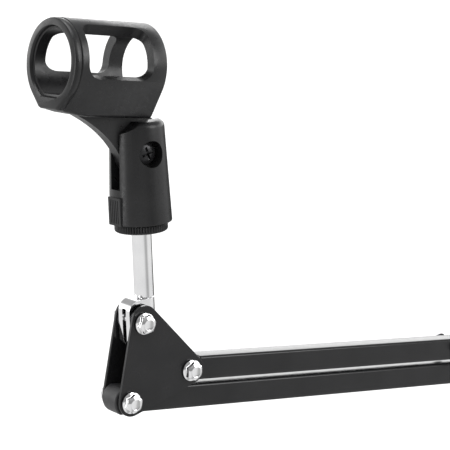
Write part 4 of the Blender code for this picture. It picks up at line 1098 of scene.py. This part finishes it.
# what polished pieces mirror below the horizon: degrees to the right of the view, and brightness
lowBand = [(-180, 1.05), (-60, 1.05), (-12, 0.9), (0, 0.4), (8, 0.12), (40, 0.12), (54, 1.05), (100, 1.05),
           (112, 0.95), (124, 0.55), (140, 0.6), (158, 1.0), (180, 1.05)]

world = bpy.data.worlds.new("studio")
scene.world = world
world.use_nodes = True
tree = world.node_tree
tree.nodes.clear()
link = tree.links.new
where = node(tree, "ShaderNodeTexCoord").outputs["Generated"]


def share(direction):
    dot = node(tree, "ShaderNodeVectorMath", operation="DOT_PRODUCT")
    dot.inputs[1].default_value = direction
    link(where, dot.inputs[0])
    return dot.outputs["Value"]


# the walls, darker towards the viewer
facing, aside = share(studio["ahead"]), share(studio["toRight"])
walls = rangeNode(tree, facing, *studio["wallBlend"], studio["front"], studio["behind"])
walls.interpolation_type = "SMOOTHSTEP"

# the band below the horizon, by heading
heading = node(tree, "ShaderNodeMath", operation="ARCTAN2")
link(aside, heading.inputs[0])
link(facing, heading.inputs[1])
turnShare = rangeNode(tree, heading.outputs["Value"], -pi, pi)
band = node(tree, "ShaderNodeValToRGB")
while len(band.color_ramp.elements) < len(lowBand):
    band.color_ramp.elements.new(0.5)
for stop, (degrees, tone) in zip(band.color_ramp.elements, lowBand):
    stop.position = (degrees + 180) / 360
    stop.color = (tone, tone, tone, 1)
link(turnShare.outputs["Result"], band.inputs["Fac"])

# band, walls and ceiling by height
height = node(tree, "ShaderNodeSeparateXYZ")
link(where, height.inputs[0])
horizon = rangeNode(tree, height.outputs["Z"], *studio["horizon"])
level = node(tree, "ShaderNodeMix")
link(horizon.outputs["Result"], level.inputs["Factor"])
link(band.outputs["Color"], level.inputs["A"])
link(walls.outputs["Result"], level.inputs["B"])
zenith = rangeNode(tree, height.outputs["Z"], *studio["zenith"])
above = node(tree, "ShaderNodeMix")
above.inputs["B"].default_value = studio["overhead"]
link(zenith.outputs["Result"], above.inputs["Factor"])
link(level.outputs["Result"], above.inputs["A"])

# mirrored rooms for polished rays, an even light for dull ones, plain white for the eye
mirrored = node(tree, "ShaderNodeBackground")
link(above.outputs["Result"], mirrored.inputs["Strength"])
ambient = node(tree, "ShaderNodeBackground", Strength=studio["ambient"])
shown = node(tree, "ShaderNodeBackground", Color=(1, 1, 1, 1), Strength=studio["seen"])
ray = node(tree, "ShaderNodeLightPath")
byDiffuse = node(tree, "ShaderNodeMixShader")
link(ray.outputs["Is Diffuse Ray"], byDiffuse.inputs["Fac"])
link(mirrored.outputs["Background"], byDiffuse.inputs[1])
link(ambient.outputs["Background"], byDiffuse.inputs[2])
mixed = node(tree, "ShaderNodeMixShader")
link(ray.outputs["Is Camera Ray"], mixed.inputs["Fac"])
link(byDiffuse.outputs["Shader"], mixed.inputs[1])
link(shown.outputs["Background"], mixed.inputs[2])
output = node(tree, "ShaderNodeOutputWorld")
link(mixed.outputs["Shader"], output.inputs["Surface"])


def softbox(name, settings):
    light = bpy.data.lights.new(name, "AREA")
    light.shape = "RECTANGLE"
    light.size, light.size_y = settings["size"]
    light.energy = settings["power"]
    made = bpy.data.objects.new(name, light)
    made.location = settings["at"]
    aim = Vector(settings["aim"]) - Vector(settings["at"])
    made.rotation_euler = aim.to_track_quat("-Z", "Y").to_euler()
    scene.collection.objects.link(made)


headCentre = (-0.18, 0, 0.50)
softbox("key_right", {"at": (0.45, -0.75, 0.95), "aim": headCentre, "size": (0.5, 0.7), "power": 5.0})
softbox("top", {"at": (-0.2, 0.15, 1.5), "aim": headCentre, "size": (0.9, 0.9), "power": 8.0})
softbox("fill_left", {"at": (-1.2, 0.1, 0.7), "aim": headCentre, "size": (0.25, 0.9), "power": 3.0})

eye = bpy.data.cameras.new("camera")
eye.lens = camera["lens"]
eye.sensor_width = 36.0
eye.clip_end = 40
view = bpy.data.objects.new("camera", eye)
view.location = camera["location"]
look = Vector(camera["direction"]).to_track_quat("-Z", "Y") @ Quaternion((0, 0, 1), radians(camera["roll"]))
view.rotation_mode = "QUATERNION"
view.rotation_quaternion = look
scene.collection.objects.link(view)
scene.camera = view
print("studio done")
